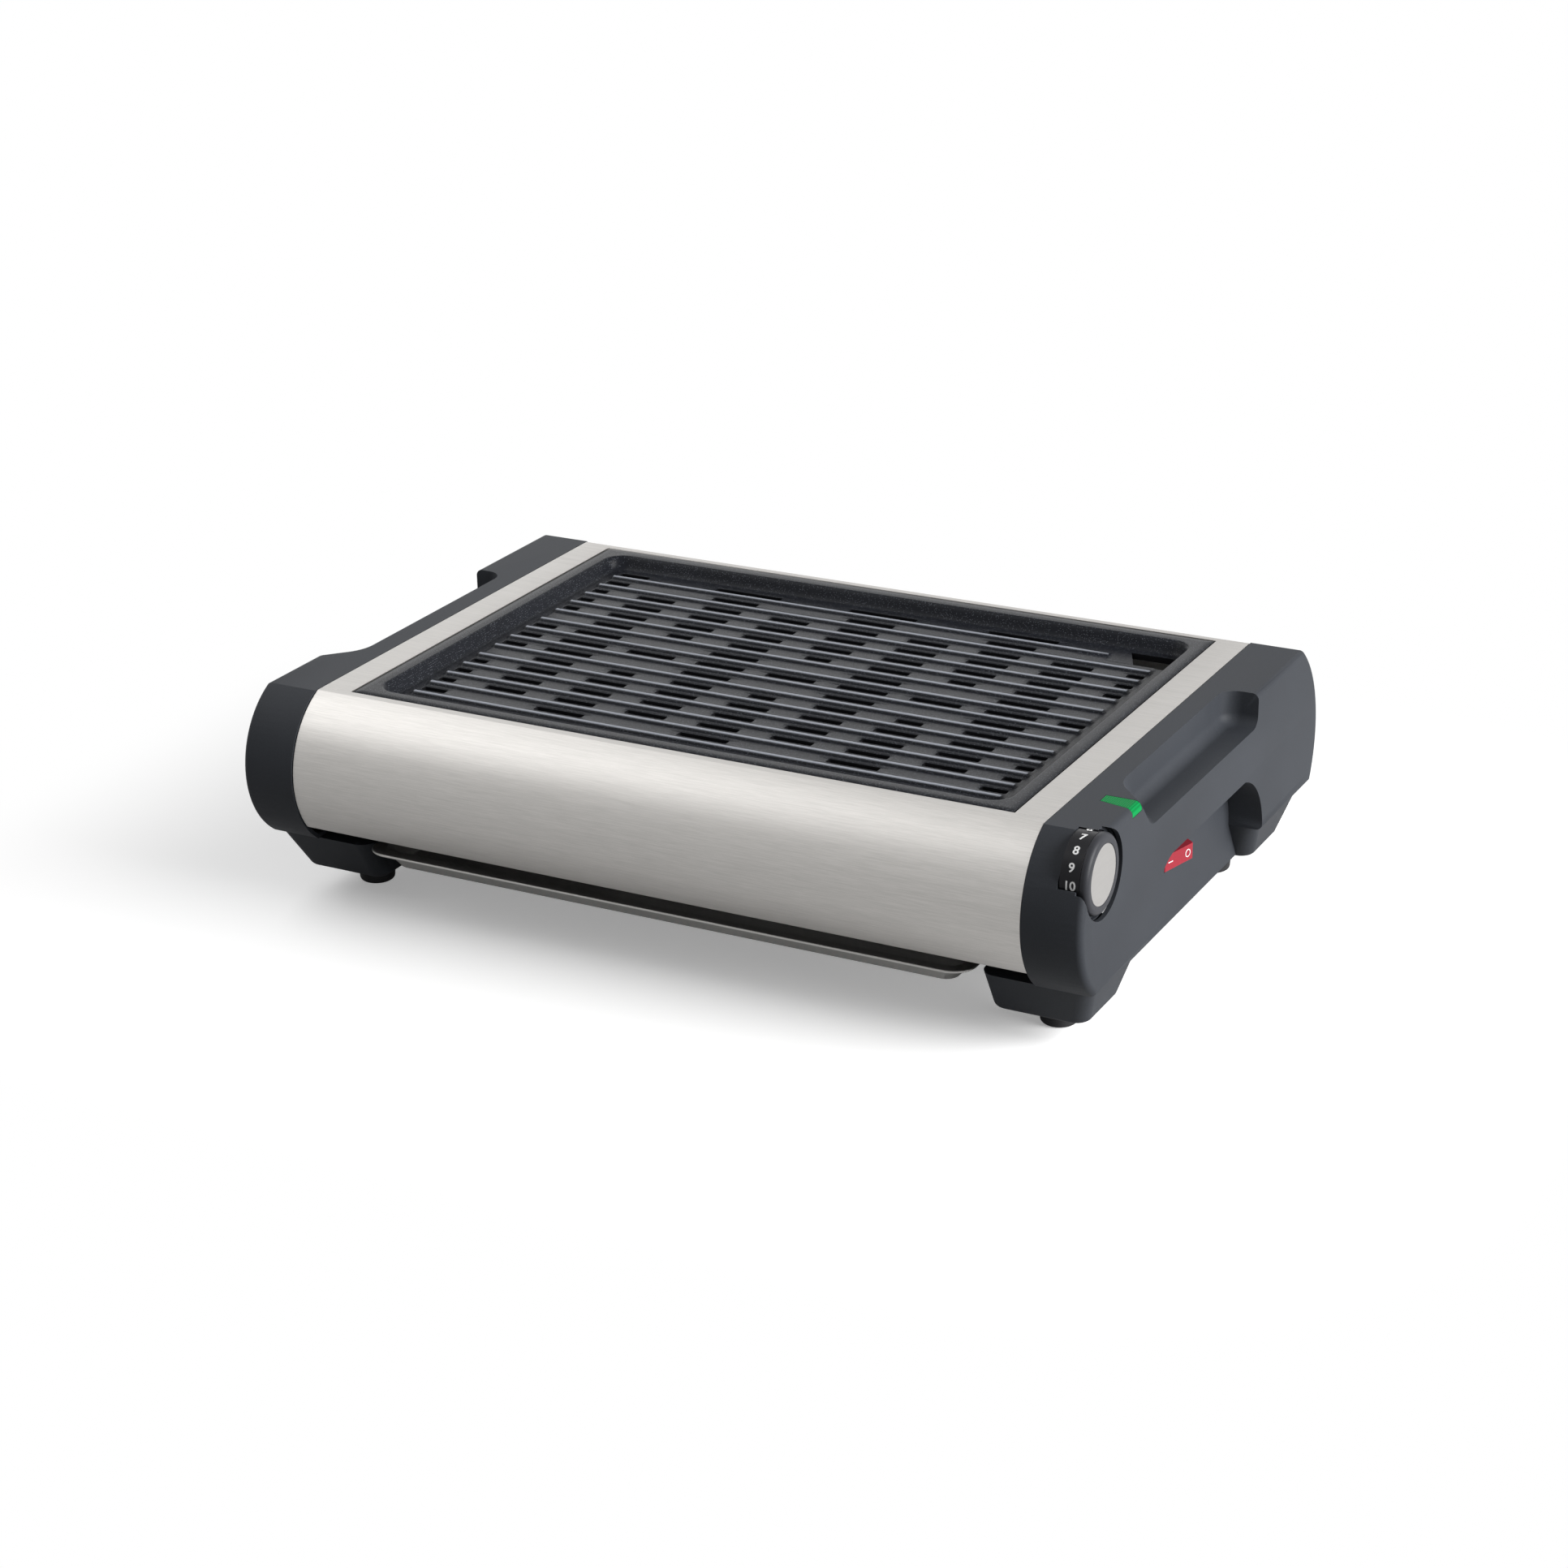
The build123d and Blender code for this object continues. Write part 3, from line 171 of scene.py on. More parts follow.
class Effects:
    """Node groups that several finishes share. Each is built once, on first use."""

    _made: dict[str, bpy.types.NodeTree] = {}

    @classmethod
    def _group(cls, name: str, numbers: Sequence[str], outputs: Sequence[str],
               fill: Callable[..., Sequence[Socket]]) -> bpy.types.NodeTree:
        """Find a group, or build it.

        Args:
            name: Group's name.
            numbers: Names of the number inputs, which come after Vector.
            outputs: Names of the number outputs.
            fill: Adds nodes to a graph, given its input sockets, and returns what feeds the outputs.

        Returns:
            The group.
        """
        if name not in cls._made:
            tree = bpy.data.node_groups.new(name, "ShaderNodeTree")
            tree.interface.new_socket("Vector", in_out="INPUT", socket_type="NodeSocketVector")
            for label in numbers:
                tree.interface.new_socket(label, in_out="INPUT", socket_type="NodeSocketFloat")
            for label in outputs:
                tree.interface.new_socket(label, in_out="OUTPUT", socket_type="NodeSocketFloat")
            graph = Graph(tree)
            given = graph.add("NodeGroupInput").outputs
            wanted = graph.add("NodeGroupOutput").inputs
            for number, value in enumerate(fill(graph, *given[: 1 + len(numbers)])):
                graph.feed(wanted[number], value)
            cls._made[name] = tree
        return cls._made[name]

    @classmethod
    def grain(cls) -> bpy.types.NodeTree:
        """Moulded grain: fine noise and pebbles over a slow drift.

        Returns:
            Group with Vector and Scale in, and Height, Fine and Drift out.
        """

        def fill(graph: Graph, vector: Socket, scale: Socket) -> tuple[Socket, ...]:
            """Mix noise and pebbles into the height."""
            fine = graph.noise(vector, scale, detail=3.0, roughness=0.6)
            pebble = graph.add("ShaderNodeTexVoronoi", Vector=vector, Scale=scale, Randomness=1.0).outputs[0]
            drift = graph.noise(vector, scale=14.0, detail=4.0, roughness=0.55)
            return graph.total((fine, 0.6), (pebble, 0.5)), fine, drift

        return cls._group("moulded_grain", ("Scale",), ("Height", "Fine", "Drift"), fill)

    @classmethod
    def brush(cls) -> bpy.types.NodeTree:
        """Brushed metal: fine lines, wider bands and slow smudges, all drawn out by the coordinates' scale.

        Returns:
            Group with Vector in, and Lines, Bands and Smudge out.
        """

        def fill(graph: Graph, vector: Socket) -> tuple[Socket, ...]:
            """Make the three noises."""
            lines = graph.noise(vector, scale=55.0, detail=4.0, roughness=0.75)
            bands = graph.noise(vector, scale=6.0, detail=2.0, roughness=0.5)
            return lines, bands, graph.noise(vector, scale=0.6, detail=3.0, roughness=0.6)

        return cls._group("brushed_lines", (), ("Lines", "Bands", "Smudge"), fill)

    @classmethod
    def speckle(cls) -> bpy.types.NodeTree:
        """Salt-like flecks: small cells, of which a share is kept.

        Returns:
            Group with Vector, Scale and Share in, and Flecks and Height out.
        """

        def fill(graph: Graph, vector: Socket, scale: Socket, share: Socket) -> tuple[Socket, ...]:
            """Keep the middles of the cells whose own colour is below the share."""
            cells = graph.add("ShaderNodeTexVoronoi", Vector=vector, Scale=scale, Randomness=1.0)
            shade = graph.add("ShaderNodeSeparateColor", Color=cells.outputs["Color"]).outputs[0]
            dots = graph.math("SUBTRACT", 1.0, graph.ramp(cells.outputs["Distance"], low=0.16, high=0.42))
            kept = graph.math("LESS_THAN", shade, share)
            return graph.math("MULTIPLY", dots, kept), graph.noise(vector, scale, detail=4.0, roughness=0.7)

        return cls._group("salt_flecks", ("Scale", "Share"), ("Flecks", "Height"), fill)


@dataclass(frozen=True)
class Finish:
    """Base of all finishes: one even colour.

    Attributes:
        name: Material's name.
        color: Base colour, linear.
        roughness: Middle roughness.
        spread: Change of roughness over the finish's pattern.
        shades: Darkest and lightest shade, as factors of the colour.
        stretch: Values of the pattern that give the darkest and the lightest shade.
        bump: Strength of the relief.
        relief: Its depth in metres.
        metallic: Share of metal.
        specular: Specular level.
        coat: Clear gloss on top.
    """

    name: str
    color: tuple[float, float, float]
    roughness: float
    spread: float = 0.2
    shades: tuple[float, float] = (1.0, 1.0)
    stretch: tuple[float, float] = (0.35, 0.65)
    bump: float = 0.5
    relief: float = 0.00005
    metallic: float = 0.0
    specular: float = 0.5
    coat: float = 0.0

    def material(self) -> bpy.types.Material:
        """Make the material, or find it when it is already made.

        Returns:
            The finished material.
        """
        title = f"{self.name}_finish"
        found = bpy.data.materials.get(title)
        if found:
            return found
        made = bpy.data.materials.new(title)
        made.use_nodes = True
        plain = (*self.color, 1.0)
        made.diffuse_color = plain
        graph = Graph(made.node_tree)
        shader = made.node_tree.nodes["Principled BSDF"]
        feeds = {
            "Base Color": plain,
            "Roughness": self.roughness,
            "Metallic": self.metallic,
            "Specular IOR Level": self.specular,
            "Coat Weight": self.coat,
        }
        coords = graph.add("ShaderNodeTexCoord").outputs["Object"]
        for name, value in [*feeds.items(), *self.dress(graph, coords).items()]:
            graph.feed(shader.inputs[name], value)
        return made

    def dress(self, graph: Graph, coords: Socket) -> dict[str, Socket]:
        """Add the finish's detail; the base adds none.

        Args:
            graph: Material's node graph.
            coords: Object coordinates.

        Returns:
            What feeds the shader, by its socket's name.
        """
        return {}

    def shaded(self, graph: Graph, share: Socket) -> Socket:
        """Mix the colour's darkest and lightest shades, by the share of the lightest."""
        dark, light = (tuple(min(1.0, part * factor) for part in self.color) for factor in self.shades)
        return graph.mix(share, dark, light)

    def relieved(self, graph: Graph, height: Socket) -> Socket:
        """Turn a height, 0 to 1, into a normal."""
        return graph.add("ShaderNodeBump", Strength=self.bump, Distance=self.relief, Height=height).outputs[0]

    def swung(self, graph: Graph, pattern: Socket) -> Socket:
        """Swing the roughness round its middle: pattern times spread, plus middle, less half the spread."""
        return graph.total((pattern, self.spread), (self.roughness - self.spread / 2, 1.0))


@dataclass(frozen=True)
class BrushedMetal(Finish):
    """Metal with fine lines one way.

    Attributes:
        way: Direction of the lines.
        line_share: Weight of the fine lines in the shade; the bands have the rest.
        smudge_share: Weight of the smudges beside the lines in the roughness.
    """

    spread: float = 0.05
    shades: tuple[float, float] = (0.90, 1.06)
    stretch: tuple[float, float] = (0.3, 0.7)
    bump: float = 0.35
    relief: float = 0.00002
    metallic: float = 1.0
    way: Direction = Direction.ALONG_X
    line_share: float = 0.85
    smudge_share: float = 0.6

    def dress(self, graph: Graph, coords: Socket) -> dict[str, Socket]:
        """Lines in colour, roughness and relief. Args and Returns as in Finish.dress."""
        drawn = graph.add("ShaderNodeMapping", Vector=coords, Scale=self.way.value).outputs[0]
        group = graph.add("ShaderNodeGroup", {"node_tree": Effects.brush()}, Vector=drawn)
        lines, bands, smudge = group.outputs
        tone = graph.total((lines, self.line_share), (bands, 1.0 - self.line_share))
        return {
            "Base Color": self.shaded(graph, graph.ramp(tone, *self.stretch)),
            "Roughness": self.swung(graph, graph.total((lines, 1.0), (smudge, self.smudge_share))),
            "Normal": self.relieved(graph, lines),
        }


@dataclass(frozen=True)
class MouldedPlastic(Finish):
    """Plastic with a spark-eroded grain.

    Attributes:
        scale: Grain cells per metre.
    """

    spread: float = 0.12
    shades: tuple[float, float] = (0.86, 1.14)
    bump: float = 0.4
    specular: float = 0.35
    scale: float = 2200.0

    def dress(self, graph: Graph, coords: Socket) -> dict[str, Socket]:
        """Grain in relief, roughness and shade. Args and Returns as in Finish.dress."""
        group = graph.add("ShaderNodeGroup", {"node_tree": Effects.grain()}, Vector=coords, Scale=self.scale)
        height, fine, drift = group.outputs
        tone = graph.total((fine, 0.5), (drift, 0.5))
        return {
            "Base Color": self.shaded(graph, graph.ramp(tone, *self.stretch)),
            "Roughness": self.swung(graph, drift),
            "Normal": self.relieved(graph, height),
        }


@dataclass(frozen=True)
class NonStick(Finish):
    """Dark coating with pale flecks on a cast plate. Its ridges' tops carry a painted highlight, mixed
    towards a paler colour.

    Attributes:
        fleck: Colour of the flecks, and of the painted highlight on the ridge tops.
        scale: Fleck cells per metre.
        share: Share of the cells that are flecked.
        fleck_share: Flecks' weight off the ridge tops, and the extra on them that paints highlight.
        crest_share: Weight of the painted highlight's colour on the ridge tops.
        crest: Heights between which the ridges take the painted highlight, in metres.
        rim: Heights between which the painted highlight ends again.
        middle: Y of the plate's middle.
        reach: Half size of the ridged field in X and Y, which the painted highlight keeps to.
        wear_scale: Slow patches per metre.
        fleck_height: Height of each speck beside the cast skin's.
    """

    shades: tuple[float, float] = (1.0, 1.25)
    stretch: tuple[float, float] = (0.35, 0.7)
    relief: float = 0.00012
    specular: float = 0.09
    fleck: tuple[float, float, float] = (0.50, 0.53, 0.60)
    scale: float = 1700.0
    share: float = 0.28
    fleck_share: tuple[float, float] = (0.24, 0.4)
    crest_share: float = 0.62
    crest: tuple[float, float] = (0.1249, 0.1255)
    rim: tuple[float, float] = (0.1256, 0.1262)
    middle: float = -0.0013
    reach: tuple[float, float] = (0.189, 0.120)
    wear_scale: float = 22.0
    fleck_height: float = 0.5

    def crests(self, graph: Graph, coords: Socket) -> Socket:
        """Where the painted highlight goes on the ridge tops: between the two pairs of heights, and within
        the ridged field.

        Args:
            graph: Material's node graph.
            coords: Object coordinates.

        Returns:
            Socket of a number that is 1 where the highlight is painted.
        """
        across, along, level = graph.add("ShaderNodeSeparateXYZ", Vector=coords).outputs
        ended = graph.math("SUBTRACT", 1.0, graph.ramp(level, *self.rim))
        crest = graph.math("MULTIPLY", graph.ramp(level, *self.crest), ended)
        along = graph.math("SUBTRACT", along, self.middle)
        for way, reach in zip((across, along), self.reach):
            crest = graph.math("MULTIPLY", crest, graph.math("LESS_THAN", graph.math("ABSOLUTE", way), reach))
        return crest

    def dress(self, graph: Graph, coords: Socket) -> dict[str, Socket]:
        """Flecks and a painted ridge-top highlight in colour, a rough cast skin in relief. Args and Returns
        as in Finish.dress.
        """
        settings = {"node_tree": Effects.speckle()}
        group = graph.add("ShaderNodeGroup", settings, Vector=coords, Scale=self.scale, Share=self.share)
        flecks, height = group.outputs
        crest = self.crests(graph, coords)
        wear = graph.noise(coords, self.wear_scale, detail=4.0, roughness=0.6)
        base = self.shaded(graph, graph.ramp(wear, *self.stretch))
        # Painted highlight: the ridge tops are mixed towards the pale colour of the flecks.
        base = graph.mix(graph.math("MULTIPLY", crest, self.crest_share), base, self.fleck)
        # The flecks get extra weight on the ridge tops, which paints highlight there too.
        plain, crest_highlight_extra = self.fleck_share
        share = graph.math("MULTIPLY", flecks, graph.total((crest, crest_highlight_extra), (plain, 1.0)))
        return {
            "Base Color": graph.mix(share, base, self.fleck),
            "Roughness": self.swung(graph, height),
            "Normal": self.relieved(graph, graph.total((height, 1.0), (flecks, self.fleck_height))),
        }


@dataclass(frozen=True)
class HeatedTube(Finish):
    """Steel tube tinted by heat.

    Attributes:
        tint: Colour of the oxide.
        scale: Patches of it per metre.
    """

    bump: float = 0.2
    metallic: float = 0.85
    tint: tuple[float, float, float] = (0.16, 0.11, 0.08)
    scale: float = 60.0

    def dress(self, graph: Graph, coords: Socket) -> dict[str, Socket]:
        """Patchy oxide colour and roughness. Args and Returns as in Finish.dress."""
        patches = graph.noise(coords, self.scale, detail=5.0, roughness=0.6)
        return {
            "Base Color": graph.mix(graph.ramp(patches, *self.stretch), self.color, self.tint),
            "Roughness": self.swung(graph, patches),
            "Normal": self.relieved(graph, patches),
        }


@dataclass(frozen=True)
class RibbedLens(Finish):
    """Coloured plastic with fine ribs across.

    Attributes:
        scale: Scale of the ribs' wave.
    """

    shades: tuple[float, float] = (1.0, 1.5)
    relief: float = 0.0002
    specular: float = 0.05
    scale: float = 260.0

    def dress(self, graph: Graph, coords: Socket) -> dict[str, Socket]:
        """Ribs in relief and a lighter shade on them. Args and Returns as in Finish.dress."""
        settings = {"wave_type": "BANDS", "bands_direction": "X"}
        ribs = graph.add("ShaderNodeTexWave", settings, Vector=coords, Scale=self.scale).outputs[1]
        return {"Base Color": self.shaded(graph, ribs), "Normal": self.relieved(graph, ribs)}


STEEL = BrushedMetal("cover_steel", (0.47, 0.457, 0.44), 0.45, shades=(0.88, 1.072), relief=0.000006)
INNER_STEEL = BrushedMetal("inner_sheet", (0.30, 0.295, 0.29), 0.42, way=Direction.ALONG_Y)
TRAY_METAL = BrushedMetal("tray_aluminium", (0.34, 0.335, 0.325), 0.42)
INSERT_METAL = BrushedMetal(
    "insert_metal", (0.41, 0.40, 0.39), 0.52, shades=(0.96, 1.024), way=Direction.ALONG_Y
)
SCREW_METAL = BrushedMetal("screw_steel", (0.55, 0.55, 0.56), 0.25, way=Direction.EVERY_WAY)
PIN_METAL = BrushedMetal("terminal_brass", (0.62, 0.45, 0.2), 0.3, way=Direction.EVERY_WAY)
CAP_PLASTIC = MouldedPlastic("cap_plastic", (0.032, 0.035, 0.041), 0.55, relief=0.000012, specular=0.13)
DIAL_PLASTIC = MouldedPlastic(
    "dial_plastic", (0.030, 0.031, 0.036), 0.42, relief=0.00002, specular=0.15, scale=3000.0
)
RING_PLASTIC = MouldedPlastic(
    "ring_plastic", (0.012, 0.012, 0.014), 0.34, relief=0.00002, specular=0.15, scale=3000.0
)
BLACK_PLASTIC = MouldedPlastic("black_plastic", (0.03, 0.03, 0.033), 0.42)
CERAMIC = MouldedPlastic("ceramic", (0.72, 0.70, 0.64), 0.35, coat=0.3, scale=900.0)
RED_PLASTIC = MouldedPlastic("red_plastic", (0.25, 0.010, 0.022), 0.34, relief=0.00001, scale=3000.0)
WHITE_PRINT = MouldedPlastic("white_print", (0.80, 0.80, 0.80), 0.45, relief=0.00001, scale=4000.0)
FOOT_RUBBER = MouldedPlastic(
    "foot_rubber", (0.022, 0.022, 0.024), 0.72, relief=0.0001, specular=0.3, scale=1200.0
)
# The plate's coating; its ridge tops carry a painted highlight.
PLATE_COAT = NonStick("plate_coating", (0.008, 0.009, 0.012), 0.30)
# Near-black, darker than the coating: painted shade for the depth of the slots and the drain, on every wall
# of the plate.
SLOT_WALL_SHADE = MouldedPlastic(
    "slot_wall_shade", (0.004, 0.004, 0.005), 0.6, relief=0.00004, specular=0.1, scale=1500.0
)
TUBE_METAL = HeatedTube("element_steel", (0.13, 0.12, 0.115), 0.42)
GREEN_LENS = RibbedLens("green_lens", (0.001, 0.15, 0.036), 0.45)
LAMP_GLASS = Finish("lamp_glass", (0.8, 0.85, 0.8), 0.08)


def finished(mesh: bpy.types.Mesh, name: str, finish: Finish, sharp: float) -> bpy.types.Object:
    """Put a mesh into the scene, smooth and with its finish.

    Args:
        mesh: Mesh.
        name: Object's name.
        finish: Its finish.
        sharp: Bend above which an edge stays sharp, in degrees.

    Returns:
        The new object.
    """
    mesh.materials.clear()
    mesh.materials.append(finish.material())
    mesh.shade_smooth()
    mesh.set_sharp_from_angle(angle=radians(sharp))
    piece = bpy.data.objects.new(name, mesh)
    bpy.context.scene.collection.objects.link(piece)
    LOG.info("%s: %d faces", name, len(mesh.polygons))
    return piece


def new_piece(name: str, points: np.ndarray, faces: Sequence[Sequence[int]], finish: Finish, body: Body,
              sharp: float = 32.0) -> bpy.types.Object:
    """Make a mesh object from arrays, dress it and let it ride on a body.

    Args:
        name: Piece's name.
        points: Vertex positions in metres.
        faces: Vertex numbers of each face.
        finish: Its finish.
        body: Body it moves with.
        sharp: Bend above which an edge stays sharp, in degrees.

    Returns:
        The new object.
    """
    mesh = bpy.data.meshes.new(name)
    mesh.from_pydata(points.tolist(), [], [list(map(int, face)) for face in faces])
    mesh.validate()
    piece = finished(mesh, name, finish, sharp)
    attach(piece, body.value)
    return piece


def ring_faces(steps: int, sides: int) -> np.ndarray:
    """Faces of a tube that closes on itself, both along its path and round its section.

    Args:
        steps: Points along the path.
        sides: Points round the section, counted first.

    Returns:
        Four point numbers for each face.
    """
    i, j = np.meshgrid(np.arange(steps), np.arange(sides), indexing="ij")
    ahead, beside = (i + 1) % steps, (j + 1) % sides
    faces = np.stack([i * sides + j, ahead * sides + j, ahead * sides + beside, i * sides + beside], axis=-1)
    return faces.reshape(-1, 4)


def softened(node: str, finish: Finish, body: Body, width_mm: float, segments: int = 2,
             angle: float = 28.0) -> None:
    """Stand a copy of a node's mesh in its place, with its triangles merged and its edges rounded.

    Args:
        node: CAD node to stand for.
        finish: Its finish.
        body: Body it moves with.
        width_mm: Width of the rounding, 0 for smooth shading alone.
        segments: Steps of the rounding.
        angle: Smallest bend that is rounded, in degrees.
    """
    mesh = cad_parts[node].data.copy()
    mesh.name = f"{node}_soft"
    work = bmesh.new()
    work.from_mesh(mesh)
    bmesh.ops.remove_doubles(work, verts=work.verts, dist=SAME_POINT)
    bmesh.ops.dissolve_limit(work, angle_limit=radians(SAME_FACE), verts=work.verts, edges=work.edges)
    work.to_mesh(mesh)
    work.free()
    piece = finished(mesh, f"{node}_soft", finish, angle)
    if width_mm:
        bevel = piece.modifiers.new("rounding", "BEVEL")
        bevel.width = width_mm * MM
        bevel.segments = segments
        bevel.limit_method = "ANGLE"
        bevel.angle_limit = radians(angle)
        bevel.use_clamp_overlap = True
        bevel.harden_normals = True
    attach(piece, body.value)
    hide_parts(node)


def dress_node(node: str, finish: Finish) -> None:
    """Give a CAD node its finish.

    Args:
        node: Node's name.
        finish: Its finish.
    """
    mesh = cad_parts[node].data
    mesh.materials.clear()
    mesh.materials.append(finish.material())


def text_points(text: str, size: float, depth: float) -> tuple[np.ndarray, list[list[int]]]:
    """Mesh of a printed number, centred, reading along its first axis.

    Args:
        text: Characters.
        size: Height of the type in metres.
        depth: Thickness in metres.

    Returns:
        Points and faces.
    """
    curve = bpy.data.curves.new("type", "FONT")
    curve.body = text
    curve.size = size
    curve.extrude = depth / 2
    curve.align_x = "CENTER"
    curve.align_y = "CENTER"
    curve.offset = size * TYPE_WEIGHT
    holder = bpy.data.objects.new("type", curve)
    mesh = bpy.data.meshes.new_from_object(holder)
    work = bmesh.new()
    work.from_mesh(mesh)
    for level in np.linspace(-0.5, 0.5, TYPE_LEVELS) * size:
        parts = [*work.verts, *work.edges, *work.faces]
        bmesh.ops.bisect_plane(work, geom=parts, plane_co=(0.0, level, 0.0), plane_no=(0.0, 1.0, 0.0))
    work.to_mesh(mesh)
    work.free()
    points = np.zeros(len(mesh.vertices) * 3)
    mesh.vertices.foreach_get("co", points)
    faces = [list(p.vertices) for p in mesh.polygons]
    bpy.data.objects.remove(holder)
    bpy.data.curves.remove(curve)
    bpy.data.meshes.remove(mesh)
    return points.reshape(-1, 3), faces


@dataclass
class Cover:
    """Steel front, deck and back.

    Attributes:
        edge_mm: Rounding of the sheet's edges.
    """

    edge_mm: float = 0.35

    def build(self) -> None:
        """Round the sheet's edges and brush its faces."""
        for node in ("front_panel", "deck_frame", "rear_panel"):
            softened(node, STEEL, Body.HOUSING, self.edge_mm)


@dataclass
class Caps:
    """Plastic end caps and the feet under them.

    Attributes:
        edge_mm: Rounding of the caps' edges.
        foot_edge_mm: Rounding of the feet's.
    """

    edge_mm: float = 0.8
    foot_edge_mm: float = 1.2

    def build(self) -> None:
        """Round the edges of the caps and the feet."""
        for node in ("left_end_cap", "right_end_cap"):
            softened(node, CAP_PLASTIC, Body.HOUSING, self.edge_mm)
        softened("rubber_feet", FOOT_RUBBER, Body.HOUSING, self.foot_edge_mm, segments=3)


def ease(value: np.ndarray) -> np.ndarray:
    """Rise from 0 to 1 with level ends: held to 0 and 1, then three times the square less twice the cube."""
    held = np.clip(value, 0.0, 1.0)
    return held * held * (3.0 - 2.0 * held)


def grid_lines(exact: Sequence[np.ndarray], extra: Sequence[np.ndarray], gap: float) -> np.ndarray:
    """Merge two sets of grid lines, and drop extra lines that crowd the others.

    Args:
        exact: Arrays of lines that have to be there.
        extra: Arrays of lines that may be left out.
        gap: Least distance of an extra line from any other.

    Returns:
        All kept lines in order.
    """
    wanted, spare = (np.concatenate([np.ravel(part) for part in parts]) for parts in (exact, extra))
    kept = sorted(set(np.round(wanted, 4)))
    for value in sorted(set(np.round(spare, 4))):
        if min(abs(value - line) for line in kept) >= gap:
            kept.append(value)
    return np.array(sorted(kept))


@dataclass
class GrillPlate:
    """Cast plate: rim, basin, rounded ridges, slots with soft lips and a drain, all in millimetres.

    Its top is one height over a grid, its underside another, and walls join the two round every opening.

    Attributes:
        rim: Width of the flat rim.
        rim_drop: Thickness of the rim.
        brink: Depth and width of the rounding along the rim's outer edge.
        depth: Depth of the gutter below the rim.
        wall: How far outside the basin's edge its wall starts, and the wall's width.
        raised: Height of the ridged field above the gutter.
        slope: How far the field reaches beyond the last ridge, and the width of its slope.
        corner: Corner radius of the basin.
        gutter: Width between the basin's edge and the ridges' ends.
        end_land: Width between the basin's edge and the first row of slots.
        columns: Number of column pitches along the ridges.
        rows: Number of rows of slots.
        ridge: Height and half width of a ridge, half an ellipse in section.
        taper: Length over which a ridge rises at its ends.
        slot: Half width of a slot, and width and depth of its lip.
        nick: How far a slot's corners are drawn in.
        odd_slots: Half lengths in odd columns as shares of the column pitch, from the middle row outwards.
        even_slots: The same in even columns.
        end_slots: Lengths at the plate's ends, likewise.
        drain: Left, right, front and rear of the drain, and how far its left side leans.
        short_end: Right end of the ridge beside the drain.
        under_wall: Width over which the underside goes down from the rim.
        inward: Distances from the plate's sides at which grid lines follow the rim and the basin's wall.
        tips: Distances inwards from a ridge's end at which they follow its taper.
        inset: Distance inwards from a slot's edge at which they follow its corners.
        ridge_lines: Number of lines along a ridge.
        drain_lines: Distance between lines along the drain's leaning side, and over the rest of the drain.
        crowd: Least distance of a spare line from any other, across X and across Y.
        least_slot: Length below which a slot isn't there.
        stair: How far from the drain's leaning side a corner of the grid is still moved onto it.
        half_x: Half the plate's width, read from its solid, as are the six below.
        half_y: Half its depth.
        top: Height of the rim's top.
        base: Height of the underside.
        field_x: Half length of the ridges.
        column_pitch: Distance between columns of slots.
        row_pitch: Distance between rows of slots.
    """

    rim: float = 9.5
    rim_drop: float = 4.5
    brink: tuple[float, float] = (0.5, 1.3)
    depth: float = 7.9
    wall: tuple[float, float] = (1.2, 5.6)
    raised: float = 0.4
    slope: tuple[float, float] = (0.6, 0.8)
    corner: float = 12.0
    gutter: float = 10.2
    end_land: float = 12.4
    columns: int = 8
    rows: int = 15
    ridge: tuple[float, float] = (1.45, 2.3)
    taper: float = 1.5
    slot: tuple[float, float, float] = (2.5, 0.7, 0.35)
    nick: float = 0.3
    odd_slots: tuple[float, ...] = (0.34, 0.34, 0.28, 0.28, 0.28, 0.28, 0.0, 0.0)
    even_slots: tuple[float, ...] = (0.34, 0.0, 0.18, 0.28, 0.28, 0.28, 0.34, 0.49)
    end_slots: tuple[float, ...] = (0.34, 0.34, 0.0, 0.23, 0.23, 0.23, 0.34, 0.43)
    drain: tuple[float, float, float, float, float] = (162.0, 192.0, 105.0, 125.0, 9.0)
    short_end: float = 152.8
    under_wall: float = 0.5
    inward: tuple[float, ...] = (
        0.0, 0.5, 1.3, 4.5, 7.8, 8.7, 9.5, 10.2, 10.9, 11.7, 12.5, 13.4, 14.4, 15.8, 17.6,
    )
    tips: tuple[float, ...] = (-0.2, 0.5, 1.2)
    inset: float = 1.0
    ridge_lines: int = 11
    drain_lines: tuple[float, float] = (1.5, 4.0)
    crowd: tuple[float, float] = (0.3, 0.25)
    least_slot: float = 0.1
    stair: float = 1.6
    half_x: float = field(init=False, default=0.0)
    half_y: float = field(init=False, default=0.0)
    top: float = field(init=False, default=0.0)
    base: float = field(init=False, default=0.0)
    field_x: float = field(init=False, default=0.0)
    column_pitch: float = field(init=False, default=0.0)
    row_pitch: float = field(init=False, default=0.0)

    def spans(self) -> np.ndarray:
        """Start and end of every slot.

        Returns:
            Array of rows, slots and the two ends. A slot of no length isn't there.
        """
        row = np.arange(self.rows) - self.rows // 2
        away = np.abs(row)
        column = np.arange(1 - self.columns // 2, self.columns // 2)
        odd, even = np.array(self.odd_slots)[away], np.array(self.even_slots)[away]
        half = np.where(column[None, :] % 2 == 1, odd[:, None], even[:, None]) * self.column_pitch
        inner = np.stack([column * self.column_pitch - half, column * self.column_pitch + half], axis=-1)
        reach = self.field_x - self.taper
        length = np.array(self.end_slots)[away] * self.column_pitch
        # At the right end, two rows on each side of the middle one have no slot, nor do the two by the drain.
        right = np.where(((row < 6) & (away > 2)) | (row == 0), length, 0.0)
        ends = np.stack(
            [
                np.stack([np.full(self.rows, -reach), length - reach], axis=-1),
                np.stack([reach - right, np.full(self.rows, reach)], axis=-1),
            ],
            axis=1,
        )
        return np.concatenate([inner, ends], axis=1)

